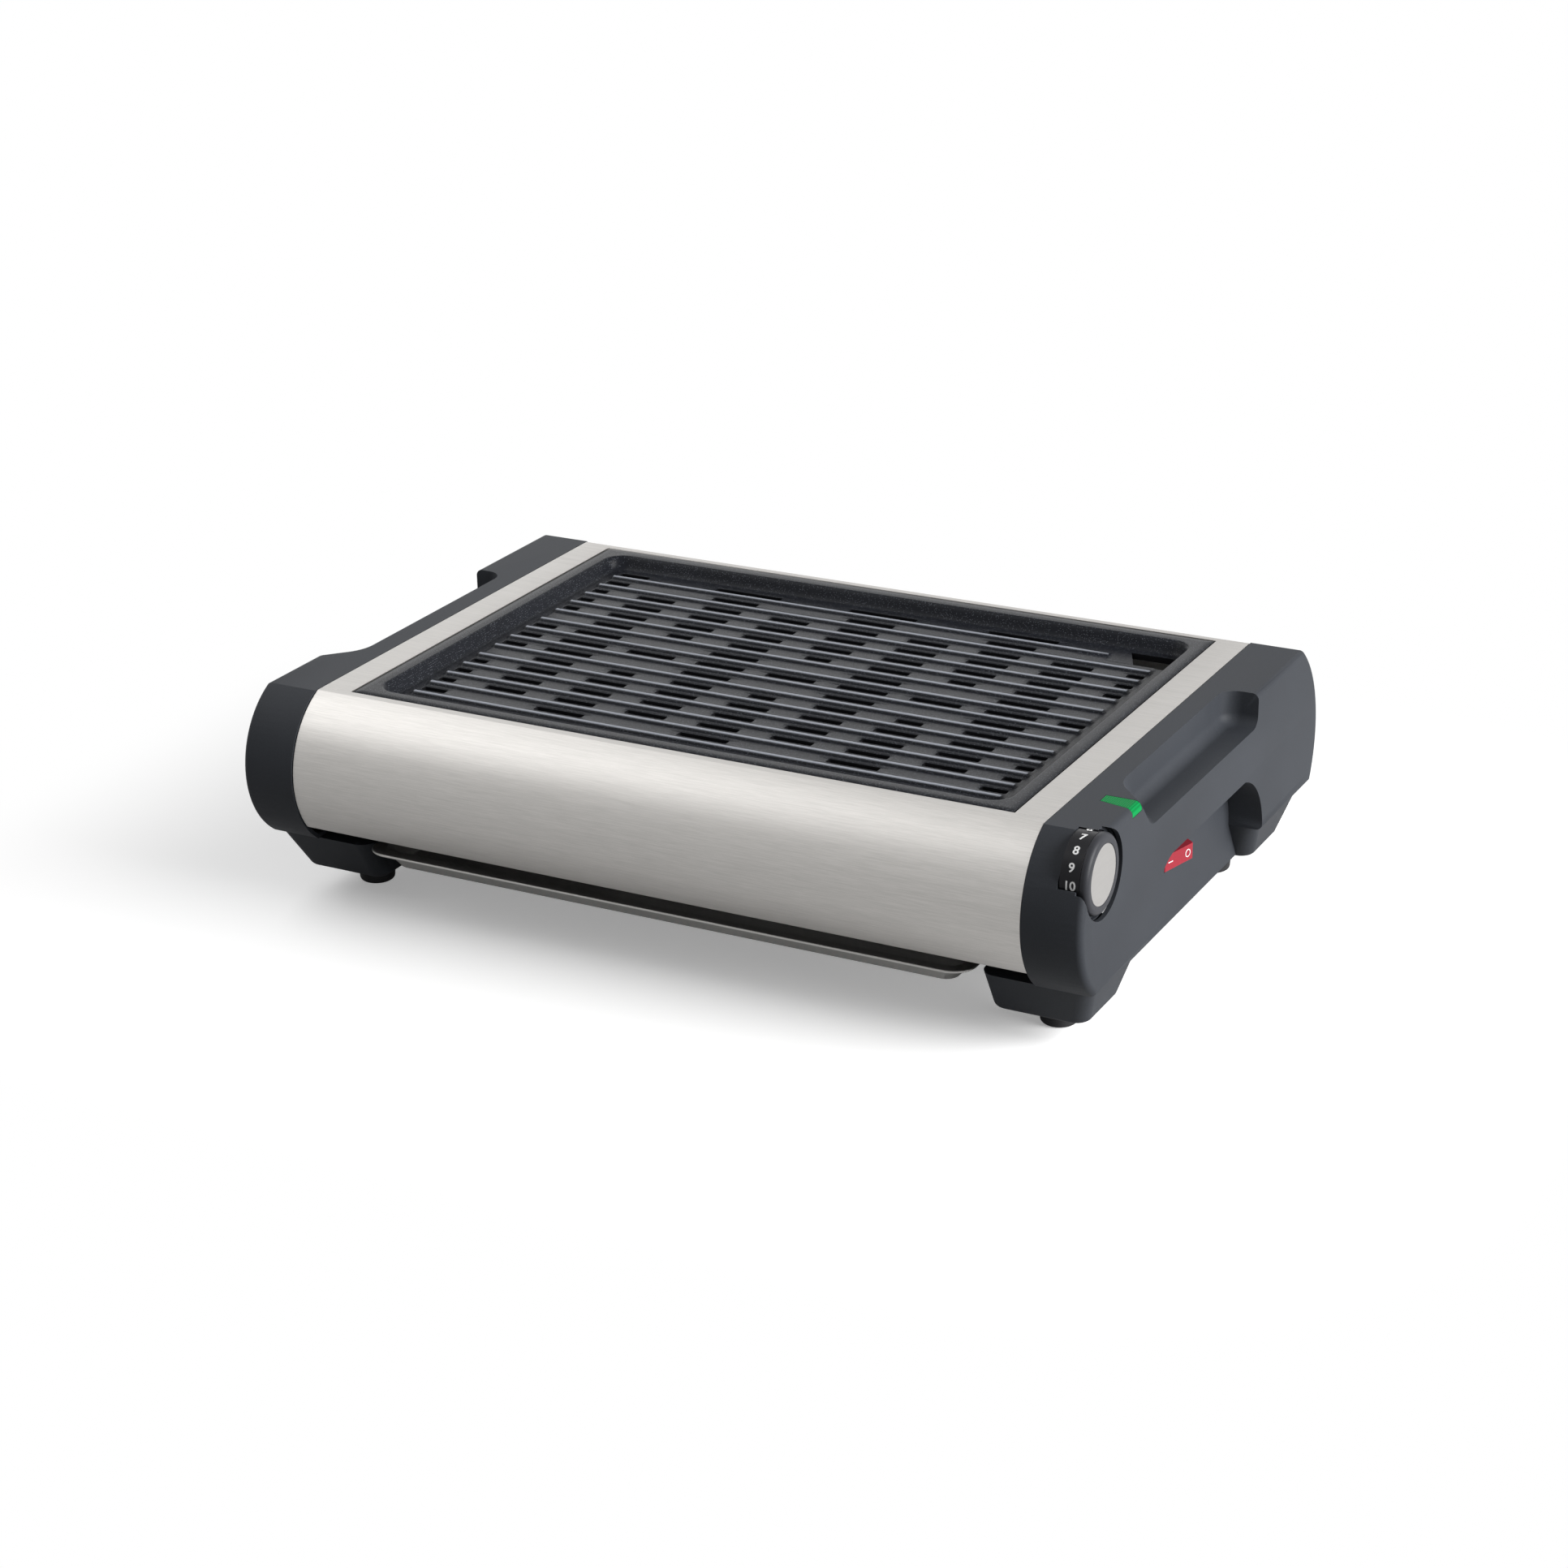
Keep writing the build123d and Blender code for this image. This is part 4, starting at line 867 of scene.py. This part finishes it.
    def near_slots(self, y: np.ndarray) -> tuple[np.ndarray, np.ndarray, np.ndarray]:
        """Row of slots that is nearest to each point.

        Args:
            y: Grid of Y.

        Returns:
            Distance beyond the row's middle line, starts and ends of its slots, and which of them are there.
        """
        row = np.clip(np.round(y / self.row_pitch), -(self.rows // 2), self.rows // 2).astype(int)
        spans = self.spans()[row + self.rows // 2]
        return y - row * self.row_pitch, spans, spans[..., 1] - spans[..., 0] > self.least_slot

    def drain_side(self, y: np.ndarray) -> np.ndarray:
        """X of the drain's left side: its rear end plus the lean times the share of the way to the front."""
        left, _, front, rear, lean = self.drain
        return left + lean * (rear - y) / (rear - front)

    def lattice(self) -> tuple[np.ndarray, np.ndarray]:
        """Grid lines at every edge of the rim, the basin, the ridges and the slots.

        Returns:
            Lines across X and across Y.
        """
        inward, tips = np.array(self.inward), np.array(self.tips)
        spans = self.spans()
        spans = spans[spans[..., 1] - spans[..., 0] > self.least_slot]
        left, right, front, rear, lean = self.drain
        side, depth, ends = self.half_x - inward, self.half_y - inward, self.field_x - tips
        fine, coarse = self.drain_lines
        leaning, straight = np.arange(left, left + lean + 1, fine), np.arange(left + lean, right, coarse)
        corners = [spans[:, 0] + self.inset, spans[:, 1] - self.inset]
        across = grid_lines(
            [spans, np.array([-self.half_x, self.half_x, right, left])],
            [*corners, side, -side, ends, -ends, self.short_end - tips, leaning, straight],
            self.crowd[0],
        )
        half, lip, _ = self.slot
        valleys = (np.arange(self.rows) - self.rows // 2) * self.row_pitch
        ridges = (valleys[:-1] + valleys[1:]) / 2
        cut = np.array([-half, -half + self.inset, half - self.inset, half])
        lips = np.array([-half - lip, half + lip])
        section = self.ridge[1] * np.sin(np.linspace(-pi / 2, pi / 2, self.ridge_lines))
        along = grid_lines(
            [valleys[:, None] + cut, np.array([-self.half_y, self.half_y, front, rear])],
            [ridges[:, None] + section, depth, -depth, valleys[:, None] + lips],
            self.crowd[1],
        )
        return across, along

    def basin(self, x: np.ndarray, y: np.ndarray) -> np.ndarray:
        """Distance inwards from the basin's edge, which is a rectangle with round corners.

        Args:
            x: Grid of X.
            y: Grid of Y.

        Returns:
            Distance of each point, below 0 outside.
        """
        ax = np.abs(x) - (self.half_x - self.rim - self.corner)
        ay = np.abs(y) - (self.half_y - self.rim - self.corner)
        outside = np.hypot(np.maximum(ax, 0.0), np.maximum(ay, 0.0))
        return self.corner - outside - np.minimum(np.maximum(ax, ay), 0.0)

    def upper(self, x: np.ndarray, y: np.ndarray) -> np.ndarray:
        """Height of the top: rim, less the basin's eased wall, plus field and ridges, less the slots' lips.

        Args:
            x: Grid of X.
            y: Grid of Y.

        Returns:
            Height of each point.
        """
        drop, width = self.brink
        edge = np.minimum(self.half_x - np.abs(x), self.half_y - np.abs(y))
        height = self.top - drop * (1.0 - ease(edge / width))
        start, width = self.wall
        height = height - self.depth * ease((self.basin(x, y) + start) / width)
        count = np.clip(np.round(y / self.row_pitch - 0.5), -(self.rows // 2), self.rows // 2 - 1)
        right = np.where(count == self.rows // 2 - 1, self.short_end, self.field_x)
        off = np.abs(y - (count + 0.5) * self.row_pitch)
        tall, foot = self.ridge
        ridge = tall * np.sqrt(np.maximum(1.0 - (off / foot) ** 2, 0.0))
        tips = ease((right - x) / self.taper) * ease((x + self.field_x) / self.taper)
        beyond, width = self.slope
        reach = (self.rows / 2 - 1) * self.row_pitch + foot
        raised = self.raised * ease((reach + beyond - np.abs(y)) / width) * tips
        half, lip, drop = self.slot
        aside, spans, real = self.near_slots(y)
        past = np.maximum(np.maximum(spans[..., 0] - x[..., None], x[..., None] - spans[..., 1]), 0.0)
        aside = np.maximum(np.abs(aside) - half, 0.0)
        near = np.where(real, np.hypot(past, aside[..., None]), np.inf).min(axis=-1)
        return height + raised + ridge * tips - drop * (1.0 - ease(near / lip))

    def opened(self, x: np.ndarray, y: np.ndarray) -> np.ndarray:
        """Whether each cell lies in a slot or in the drain.

        Args:
            x: X of the cells' middles.
            y: Y of the cells' middles.

        Returns:
            True for an open cell.
        """
        aside, spans, _ = self.near_slots(y)
        within = ((x[..., None] > spans[..., 0]) & (x[..., None] < spans[..., 1])).any(axis=-1)
        _, right, front, rear, _ = self.drain
        drained = (x > self.drain_side(y)) & (x < right) & (y > front) & (y < rear)
        return within & (np.abs(aside) < self.slot[0]) | drained

    def rounded(self, x: np.ndarray, y: np.ndarray, hole: np.ndarray) -> tuple[np.ndarray, np.ndarray]:
        """Draw the slots' corners in, and set the drain's stepped side straight.

        Args:
            x: Grid of X.
            y: Grid of Y.
            hole: Opened cells.

        Returns:
            The moved grids.
        """
        aside, spans, real = self.near_slots(y)
        edge = np.abs(np.abs(aside) - self.slot[0]) < SAME_LINE
        ends = real[..., None] & (np.abs(x[..., None, None] - spans) < SAME_LINE)
        starts, stops = np.moveaxis(ends.any(axis=-2) & edge[..., None], -1, 0)
        moved_x = x + self.nick * starts - self.nick * stops
        moved_y = y - self.nick * np.sign(aside) * (starts | stops)
        _, _, front, rear, _ = self.drain
        leaning = self.drain_side(y)
        padded = np.pad(hole, 1)
        around = np.stack([padded[:-1, :-1], padded[1:, :-1], padded[:-1, 1:], padded[1:, 1:]])
        border = around.any(axis=0) & ~around.all(axis=0)
        beside = (y > front - SAME_LINE) & (y < rear + SAME_LINE)
        step = border & beside & (np.abs(x - leaning) < self.stair)
        return np.where(step, leaning, moved_x), moved_y

    def surface(self) -> tuple[np.ndarray, np.ndarray, int]:
        """Both grids and the walls between them.

        Returns:
            Points in millimetres from the plate's middle, faces of four, and the number of the first wall.
        """
        across, along = self.lattice()
        x, y = np.meshgrid(across, along)
        hole = self.opened((x[:-1, :-1] + x[1:, 1:]) / 2, (y[:-1, :-1] + y[1:, 1:]) / 2)
        top = self.upper(x, y)
        inside = np.clip(self.basin(x, y) / self.under_wall, 0.0, 1.0)
        under = self.base + (self.top - self.rim_drop - self.base) * (1.0 - inside)
        x, y = self.rounded(x, y, hole)
        points = np.concatenate([np.stack([x, y, z], axis=-1).reshape(-1, 3) for z in (top, under)])
        number = np.arange(x.size).reshape(x.shape)
        low = number + x.size
        solid = ~hole
        cells = np.stack([number[:-1, :-1], number[:-1, 1:], number[1:, 1:], number[1:, :-1]], axis=-1)[solid]
        faces = [cells, cells[:, ::-1] + x.size]
        padded = np.pad(solid, 1)
        upright = [low[:-1], low[1:], number[1:], number[:-1]]
        level = [low[:, 1:], low[:, :-1], number[:, :-1], number[:, 1:]]
        for before, after, corners in (
            (padded[1:-1, :-1], padded[1:-1, 1:], upright),
            (padded[:-1, 1:-1], padded[1:, 1:-1], level),
        ):
            wall = np.stack(corners, axis=-1)
            faces += [wall[before & ~after], wall[after & ~before][:, ::-1]]
        used, joined = np.unique(np.concatenate(faces), return_inverse=True)
        return points[used], joined.reshape(-1, 4), sum(len(part) for part in faces[:2])

    def build(self) -> None:
        """Cast the plate in the place of its solid and coat it."""
        low, high = (np.array(corner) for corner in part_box("grill_plate"))
        middle = (low + high) / 2
        self.half_x, self.half_y = (high - low)[:2] / 2 / MM
        self.top, self.base = high[2] / MM, low[2] / MM
        self.field_x = self.half_x - self.rim - self.gutter
        self.column_pitch = 2 * self.field_x / self.columns
        self.row_pitch = 2 * (self.half_y - self.rim - self.end_land) / (self.rows - 1)
        points, faces, walls = self.surface()
        points = points * MM + np.array([middle[0], middle[1], 0.0])
        piece = new_piece("cast_plate", points, faces, PLATE_COAT, Body.PLATE, sharp=50.0)
        # Every wall takes the near-black finish: painted shade in the slots and the drain.
        piece.data.materials.append(SLOT_WALL_SHADE.material())
        piece.data.polygons.foreach_set("material_index", (np.arange(len(faces)) >= walls).astype(np.int32))
        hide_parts("grill_plate")


@dataclass
class DripTray:
    """Sheet tray under the heater, its rim rolled round a wire.

    Attributes:
        edge_mm: Rounding of the sheet's edges.
        corner: Radius of the rim's corners in metres.
        roll: Radius of the rolled edge in metres.
        sheet: Thickness of the rim in metres.
        steps: Points round each corner.
        sides: Points round the roll.
    """

    edge_mm: float = 0.5
    corner: float = 0.014
    roll: float = 0.0008
    sheet: float = 0.0013
    steps: int = 12
    sides: int = 10

    def rolled_edge(self) -> None:
        """Carry a circle along the rim's outline.

        A point of the outline is a corner's centre plus the corner's radius, less the roll's, along its
        outward ray. A point of the surface is that point plus the roll's radius, turned between the ray and
        upright.
        """
        low, high = (np.array(corner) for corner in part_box("drip_tray"))
        centres = np.array([[1, 1], [0, 1], [0, 0], [1, 0]])
        centres = low[:2] + self.corner + centres * (high[:2] - low[:2] - 2 * self.corner)
        turn = (np.arange(4)[:, None] + np.linspace(0.0, 1.0, self.steps)[None, :]) * pi / 2
        ray = np.stack([np.cos(turn), np.sin(turn)], axis=-1)
        path = (centres[:, None, :] + (self.corner - self.roll) * ray).reshape(-1, 2)
        ray = ray.reshape(-1, 2)
        around = np.linspace(0.0, 2 * pi, self.sides, endpoint=False)
        flat = path[:, None, :] + self.roll * np.cos(around)[None, :, None] * ray[:, None, :]
        level = high[2] - self.sheet / 2 + self.roll * np.sin(around)
        level = np.broadcast_to(level[None, :, None], (*flat.shape[:2], 1))
        points = np.concatenate([flat, level], axis=-1).reshape(-1, 3)
        faces = ring_faces(4 * self.steps, self.sides)
        new_piece("tray_rolled_edge", points, faces, TRAY_METAL, Body.TRAY)

    def build(self) -> None:
        """Round the sheet's edges and roll the rim."""
        softened("drip_tray", TRAY_METAL, Body.TRAY, self.edge_mm)
        self.rolled_edge()


@dataclass
class Dial:
    """Knob, number ring and insert, with the numbers.

    Attributes:
        first_angle: Place of the number 6 in degrees, from the back over the top.
        step: Angle between two numbers.
        type_size: Height of the type in metres.
        print_depth: Thickness of the print in metres.
        print_lift: Height of its middle above the ring.
        across: X of the numbers' middles.
        edges_mm: Rounding of the knob, the insert and the ring.
    """

    first_angle: float = 80.3
    step: float = 24.5
    type_size: float = 0.0068
    print_depth: float = 0.0001
    print_lift: float = 0.0002
    across: float = 0.2505
    edges_mm: tuple[float, float, float] = (0.5, 0.3, 0.15)

    def number(self, value: int, middle: tuple[float, float], radius: float) -> None:
        """Wrap a number round the ring: across the band goes along X, and up goes back round the axis.

        Args:
            value: Number to print.
            middle: Y and Z of the axis.
            radius: Ring's radius.
        """
        points, faces = text_points(str(value), self.type_size, self.print_depth)
        turn = radians(self.first_angle + (value - 6) * self.step) - points[:, 1] / radius
        reach = radius + points[:, 2] + self.print_lift
        x = self.across + points[:, 0]
        bent = np.stack([x, middle[0] + reach * np.cos(turn), middle[1] + reach * np.sin(turn)], axis=1)
        new_piece(f"number_{value}", bent, faces, WHITE_PRINT, Body.DIAL)

    def build(self) -> None:
        """Dress the knob and print 0 to 10."""
        finishes = {"dial_knob": DIAL_PLASTIC, "dial_insert": INSERT_METAL, "number_ring": RING_PLASTIC}
        for (node, finish), edge in zip(finishes.items(), self.edges_mm):
            softened(node, finish, Body.DIAL, edge)
        low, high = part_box("number_ring")
        middle = ((low[1] + high[1]) / 2, (low[2] + high[2]) / 2)
        for value in range(11):
            self.number(value, middle, radius=(high[1] - low[1]) / 2)
        dress_node("thermostat_shaft", SCREW_METAL)


@dataclass
class Rocker:
    """Red rocker with its two marks. Lengths are in metres.

    Attributes:
        pivot: Pivot's place.
        face: Distance of the flat face from the pivot.
        tilt: Turn of the stored rocker, in degrees.
        ring_radius: Middle radius of the ring mark, and half the bar mark's length.
        stroke: Width of the ring's stroke.
        bar_share: The bar's width as a share of that.
        mark_from_middle: Distance of each mark's middle from the rocker's.
        depth: Height of the print above its lift.
        lift: Distance of the print from the face.
        steps: Points round the ring.
        edge_mm: Rounding of the rocker's edges, in millimetres.
    """

    pivot: tuple[float, float, float] = (0.234, 0.00233, 0.0568)
    face: float = 0.0098
    tilt: float = -14.0
    ring_radius: float = 0.0021
    stroke: float = 0.00042
    bar_share: float = 1.1
    mark_from_middle: float = 0.0082
    depth: float = 0.00012
    lift: float = 0.00008
    steps: int = 48
    edge_mm: float = 0.5

    def placed(self, across: np.ndarray, up: np.ndarray, out: np.ndarray) -> np.ndarray:
        """Put points of the flat face into the frame: out along the face's normal, then turned by the tilt.

        Args:
            across: Distance along the rocker from its middle.
            up: Height from its middle.
            out: Height above the lifted face.

        Returns:
            Points in metres.
        """
        angle = radians(self.tilt)
        x, y = self.face + self.lift + out, across
        place = [
            self.pivot[0] + x * cos(angle) - y * sin(angle),
            self.pivot[1] + x * sin(angle) + y * cos(angle),
            self.pivot[2] + up,
        ]
        return np.stack(place, axis=-1)

    def ring(self) -> None:
        """Print the ring: a tube of flat section carried round a circle."""
        around = np.linspace(0, 2 * pi, self.steps, endpoint=False)
        section = np.array([[-0.5, -0.5], [0.5, -0.5], [0.5, 1.0], [-0.5, 1.0]])
        radius = self.ring_radius + section[None, :, 0] * self.stroke
        across = self.mark_from_middle + radius * np.cos(around)[:, None]
        up = radius * np.sin(around)[:, None]
        out = np.broadcast_to(section[None, :, 1] * self.depth, across.shape)
        points = self.placed(across, up, out).reshape(-1, 3)
        faces = ring_faces(self.steps, len(section))
        new_piece("rocker_ring_mark", points, faces, WHITE_PRINT, Body.ROCKER)

    def bar(self) -> None:
        """Print the bar: a flat block along the rocker."""
        half = self.ring_radius
        corners = np.array([[a, b, c] for a in (-half, half) for b in (-0.5, 0.5) for c in (-0.5, 1.0)])
        across, up, out = corners.T
        up = up * self.stroke * self.bar_share
        points = self.placed(across - self.mark_from_middle, up, out * self.depth)
        faces = [(0, 1, 3, 2), (4, 6, 7, 5), (0, 4, 5, 1), (2, 3, 7, 6), (0, 2, 6, 4), (1, 5, 7, 3)]
        new_piece("rocker_bar_mark", points, faces, WHITE_PRINT, Body.ROCKER)

    def build(self) -> None:
        """Dress the rocker and print its marks."""
        softened("switch_rocker", RED_PLASTIC, Body.ROCKER, self.edge_mm)
        self.ring()
        self.bar()


@dataclass
class Inside:
    """Pieces within the housing that keep their CAD shape, and the lens.

    Attributes:
        sheets: Nodes of plain sheet steel.
        plastics: Nodes of black plastic.
        ceramics: Nodes of ceramic.
        screws: Screws.
        tubes: Thin tubes, which are shaded smooth.
        lens_edge_mm: Rounding of the lens.
    """

    sheets: tuple[str, ...] = (
        "left_side_plate", "right_side_plate", "heat_liner", "left_tray_rail", "right_tray_rail",
        "element_supports", "thermostat_bracket",
    )
    plastics: tuple[str, ...] = ("switch_housing", "terminal_block", "cord_inlet")
    ceramics: tuple[str, ...] = ("element_insulators", "thermostat_body")
    screws: tuple[str, ...] = ("foot_screws", "cap_screws")
    tubes: tuple[str, ...] = ("heating_element", "sensor_probe")
    lens_edge_mm: float = 0.3

    def build(self) -> None:
        """Dress each node, smooth the tubes and soften the lens."""
        for nodes, finish in (
            (self.sheets, INNER_STEEL),
            (self.ceramics, CERAMIC),
            (("element_pins",), PIN_METAL),
            (self.screws, SCREW_METAL),
            (self.plastics, BLACK_PLASTIC),
            (("indicator_lamp",), LAMP_GLASS),
        ):
            for node in nodes:
                dress_node(node, finish)
        for node in self.tubes:
            softened(node, TUBE_METAL, Body.HOUSING, 0.0)
        softened("indicator_lens", GREEN_LENS, Body.HOUSING, self.lens_edge_mm)


@dataclass
class Studio:
    """Floor, lights and camera. A level is a brightness, 1 for white.

    Attributes:
        eye: Camera's place in metres.
        yaw: Turn of the view to the left, in degrees.
        pitch: Tilt of the view downwards.
        roll: Turn of the picture.
        lens: Focal length for the sensor.
        sensor: Width of the sensor in millimetres.
        farthest: Distance in metres beyond which the camera sees nothing.
        lamps: Name, place, width and height in metres, and level of each soft box.
        aim: Height of the point that the soft boxes face, in metres.
        sky: World's level for diffuse light, and how much of the rest a reflection sees.
        floor_side: Half the floor's width in metres.
        floor_tint: Shade of the near floor to diffuse light, to reflections and to the camera.
        floor_glow: Level that the near floor adds for the camera.
        far_level: Level of the far floor to diffuse light, to reflections and to the camera.
        footprint: Half size of the object on the floor, in metres.
        shadow_reach: Distances from the footprint over which the floor turns plain white.
    """

    eye: tuple[float, float, float] = (0.85446, -1.61867, 0.80312)
    yaw: float = 27.952
    pitch: float = 22.149
    roll: float = -0.892
    lens: float = 77.25
    sensor: float = 36.0
    farthest: float = 50.0
    lamps: tuple[tuple[str, tuple[float, float, float], tuple[float, float], float], ...] = (
        ("side_box", (2.0, 0.0, 0.75), (1.3, 1.3), 1.95),
        ("top_box", (-1.35, -0.45, 1.7), (2.3, 1.4), 0.42),
        ("back_box", (-1.5, 1.9, 0.9), (2.6, 1.0), 0.10),
    )
    aim: float = 0.07
    sky: tuple[float, float] = (0.14, 0.85)
    floor_side: float = 6.0
    floor_tint: tuple[float, float, float] = (0.26, 0.78, 0.92)
    floor_glow: float = 0.30
    far_level: tuple[float, float, float] = (0.15, 0.75, 1.0)
    footprint: tuple[float, float, float] = (0.26, 0.18, 0.0)
    shadow_reach: tuple[float, float] = (0.04, 0.25)

    def camera(self) -> None:
        """Place the camera: the view vector from yaw and pitch, then the picture turned by the roll."""
        yaw, pitch, roll = radians(self.yaw), radians(self.pitch), radians(self.roll)
        ahead = Vector((-sin(yaw) * cos(pitch), cos(yaw) * cos(pitch), -sin(pitch)))
        right = Vector((cos(yaw), sin(yaw), 0.0))
        up = right.cross(ahead)
        right, up = cos(roll) * right + sin(roll) * up, cos(roll) * up - sin(roll) * right
        data = bpy.data.cameras.new("camera")
        data.lens = self.lens
        data.sensor_width = self.sensor
        data.clip_end = self.farthest
        holder = bpy.data.objects.new("camera", data)
        turn = Matrix((right, up, -ahead)).transposed().to_4x4()
        holder.matrix_world = Matrix.Translation(self.eye) @ turn
        bpy.context.scene.collection.objects.link(holder)
        bpy.context.scene.camera = holder

    def lamp(self, name: str, place: Sequence[float], size: tuple[float, float], level: float) -> None:
        """Soft box that faces the object. Its power is the level times the distance and pi, both squared.

        Args:
            name: Light's name.
            place: Its place in metres.
            size: Width and height in metres.
            level: Brightness it gives a white face square to it, 1 for white.
        """
        data = bpy.data.lights.new(name, "AREA")
        data.shape = "RECTANGLE"
        data.size, data.size_y = size
        away = Vector(place) - Vector((0.0, 0.0, self.aim))
        data.energy = level * pi * pi * away.length_squared
        holder = bpy.data.objects.new(name, data)
        holder.location = place
        holder.rotation_euler = away.to_track_quat("Z", "Y").to_euler()
        bpy.context.scene.collection.objects.link(holder)

    def world(self) -> None:
        """White to the camera, a little darker to reflections, dim to diffuse light."""
        world = bpy.data.worlds.new("studio")
        bpy.context.scene.world = world
        world.use_nodes = True
        world.node_tree.nodes.clear()
        graph = Graph(world.node_tree)
        dim, share = self.sky
        path = graph.add("ShaderNodeLightPath").outputs
        seen = graph.math("MAXIMUM", path["Is Camera Ray"], path["Is Transmission Ray"])
        seen = graph.math("MAXIMUM", seen, graph.math("MULTIPLY", path["Is Glossy Ray"], share))
        level = graph.total((seen, 1.0 - dim), (dim, 1.0))
        back = graph.add("ShaderNodeBackground", Color=WHITE, Strength=level)
        graph.add("ShaderNodeOutputWorld", i0=back.outputs[0])

    def floor(self) -> None:
        """Pale floor that keeps the shadow near the object and is plain white farther off.

        To reflections it is pale, and to the camera paler, with a little glow. To diffuse light it is grey,
        so that it throws little light up at the object. Beyond the shadow it glows evenly.
        """
        made = bpy.data.materials.new("pale_floor")
        made.use_nodes = True
        made.node_tree.nodes.clear()
        graph = Graph(made.node_tree)
        path = graph.add("ShaderNodeLightPath").outputs
        camera = path["Is Camera Ray"]
        seen = graph.math("MAXIMUM", camera, path["Is Glossy Ray"])
        diffuse, glossy, plain = ((shade, shade, shade) for shade in self.floor_tint)
        tint = graph.mix(seen, diffuse, graph.mix(camera, glossy, plain))
        lit = graph.add("ShaderNodeBsdfDiffuse", Color=tint).outputs[0]
        glow = graph.math("MULTIPLY", camera, self.floor_glow)
        glow = graph.add("ShaderNodeEmission", Color=WHITE, Strength=glow).outputs[0]
        near = graph.add("ShaderNodeAddShader", i0=lit, i1=glow).outputs[0]
        diffuse, glossy, plain = self.far_level
        level = graph.total((seen, glossy - diffuse), (diffuse, 1.0), (camera, plain - glossy))
        far = graph.add("ShaderNodeEmission", Color=WHITE, Strength=level).outputs[0]
        place = graph.add("ShaderNodeTexCoord").outputs["Object"]
        none = (0.0, 0.0, 0.0)
        for operation, other in (("ABSOLUTE", none), ("SUBTRACT", self.footprint), ("MAXIMUM", none)):
            place = graph.add("ShaderNodeVectorMath", {"operation": operation}, i0=place, i1=other).outputs[0]
        reach = graph.add("ShaderNodeVectorMath", {"operation": "LENGTH"}, i0=place).outputs["Value"]
        blend = graph.add("ShaderNodeMixShader", i0=graph.ramp(reach, *self.shadow_reach), i1=near, i2=far)
        graph.add("ShaderNodeOutputMaterial", i0=blend.outputs[0])
        side = self.floor_side
        corners = [(-side, -side, 0.0), (side, -side, 0.0), (side, side, 0.0), (-side, side, 0.0)]
        mesh = bpy.data.meshes.new("floor")
        mesh.from_pydata(corners, [], [(0, 1, 2, 3)])
        mesh.materials.append(made)
        plane = bpy.data.objects.new("floor", mesh)
        bpy.context.scene.collection.objects.link(plane)

    def build(self) -> None:
        """Set up the studio."""
        self.camera()
        self.world()
        self.floor()
        for lamp in self.lamps:
            self.lamp(*lamp)
        bpy.context.scene.view_settings.view_transform = "Standard"
        LOG.info("studio ready")


def main() -> None:
    """Build every sub-assembly in order."""
    Studio().build()
    for assembly in (Cover(), Caps(), GrillPlate(), DripTray(), Dial(), Rocker(), Inside()):
        assembly.build()
        LOG.info("%s built", type(assembly).__name__)


if __name__ == "__main__":
    main()
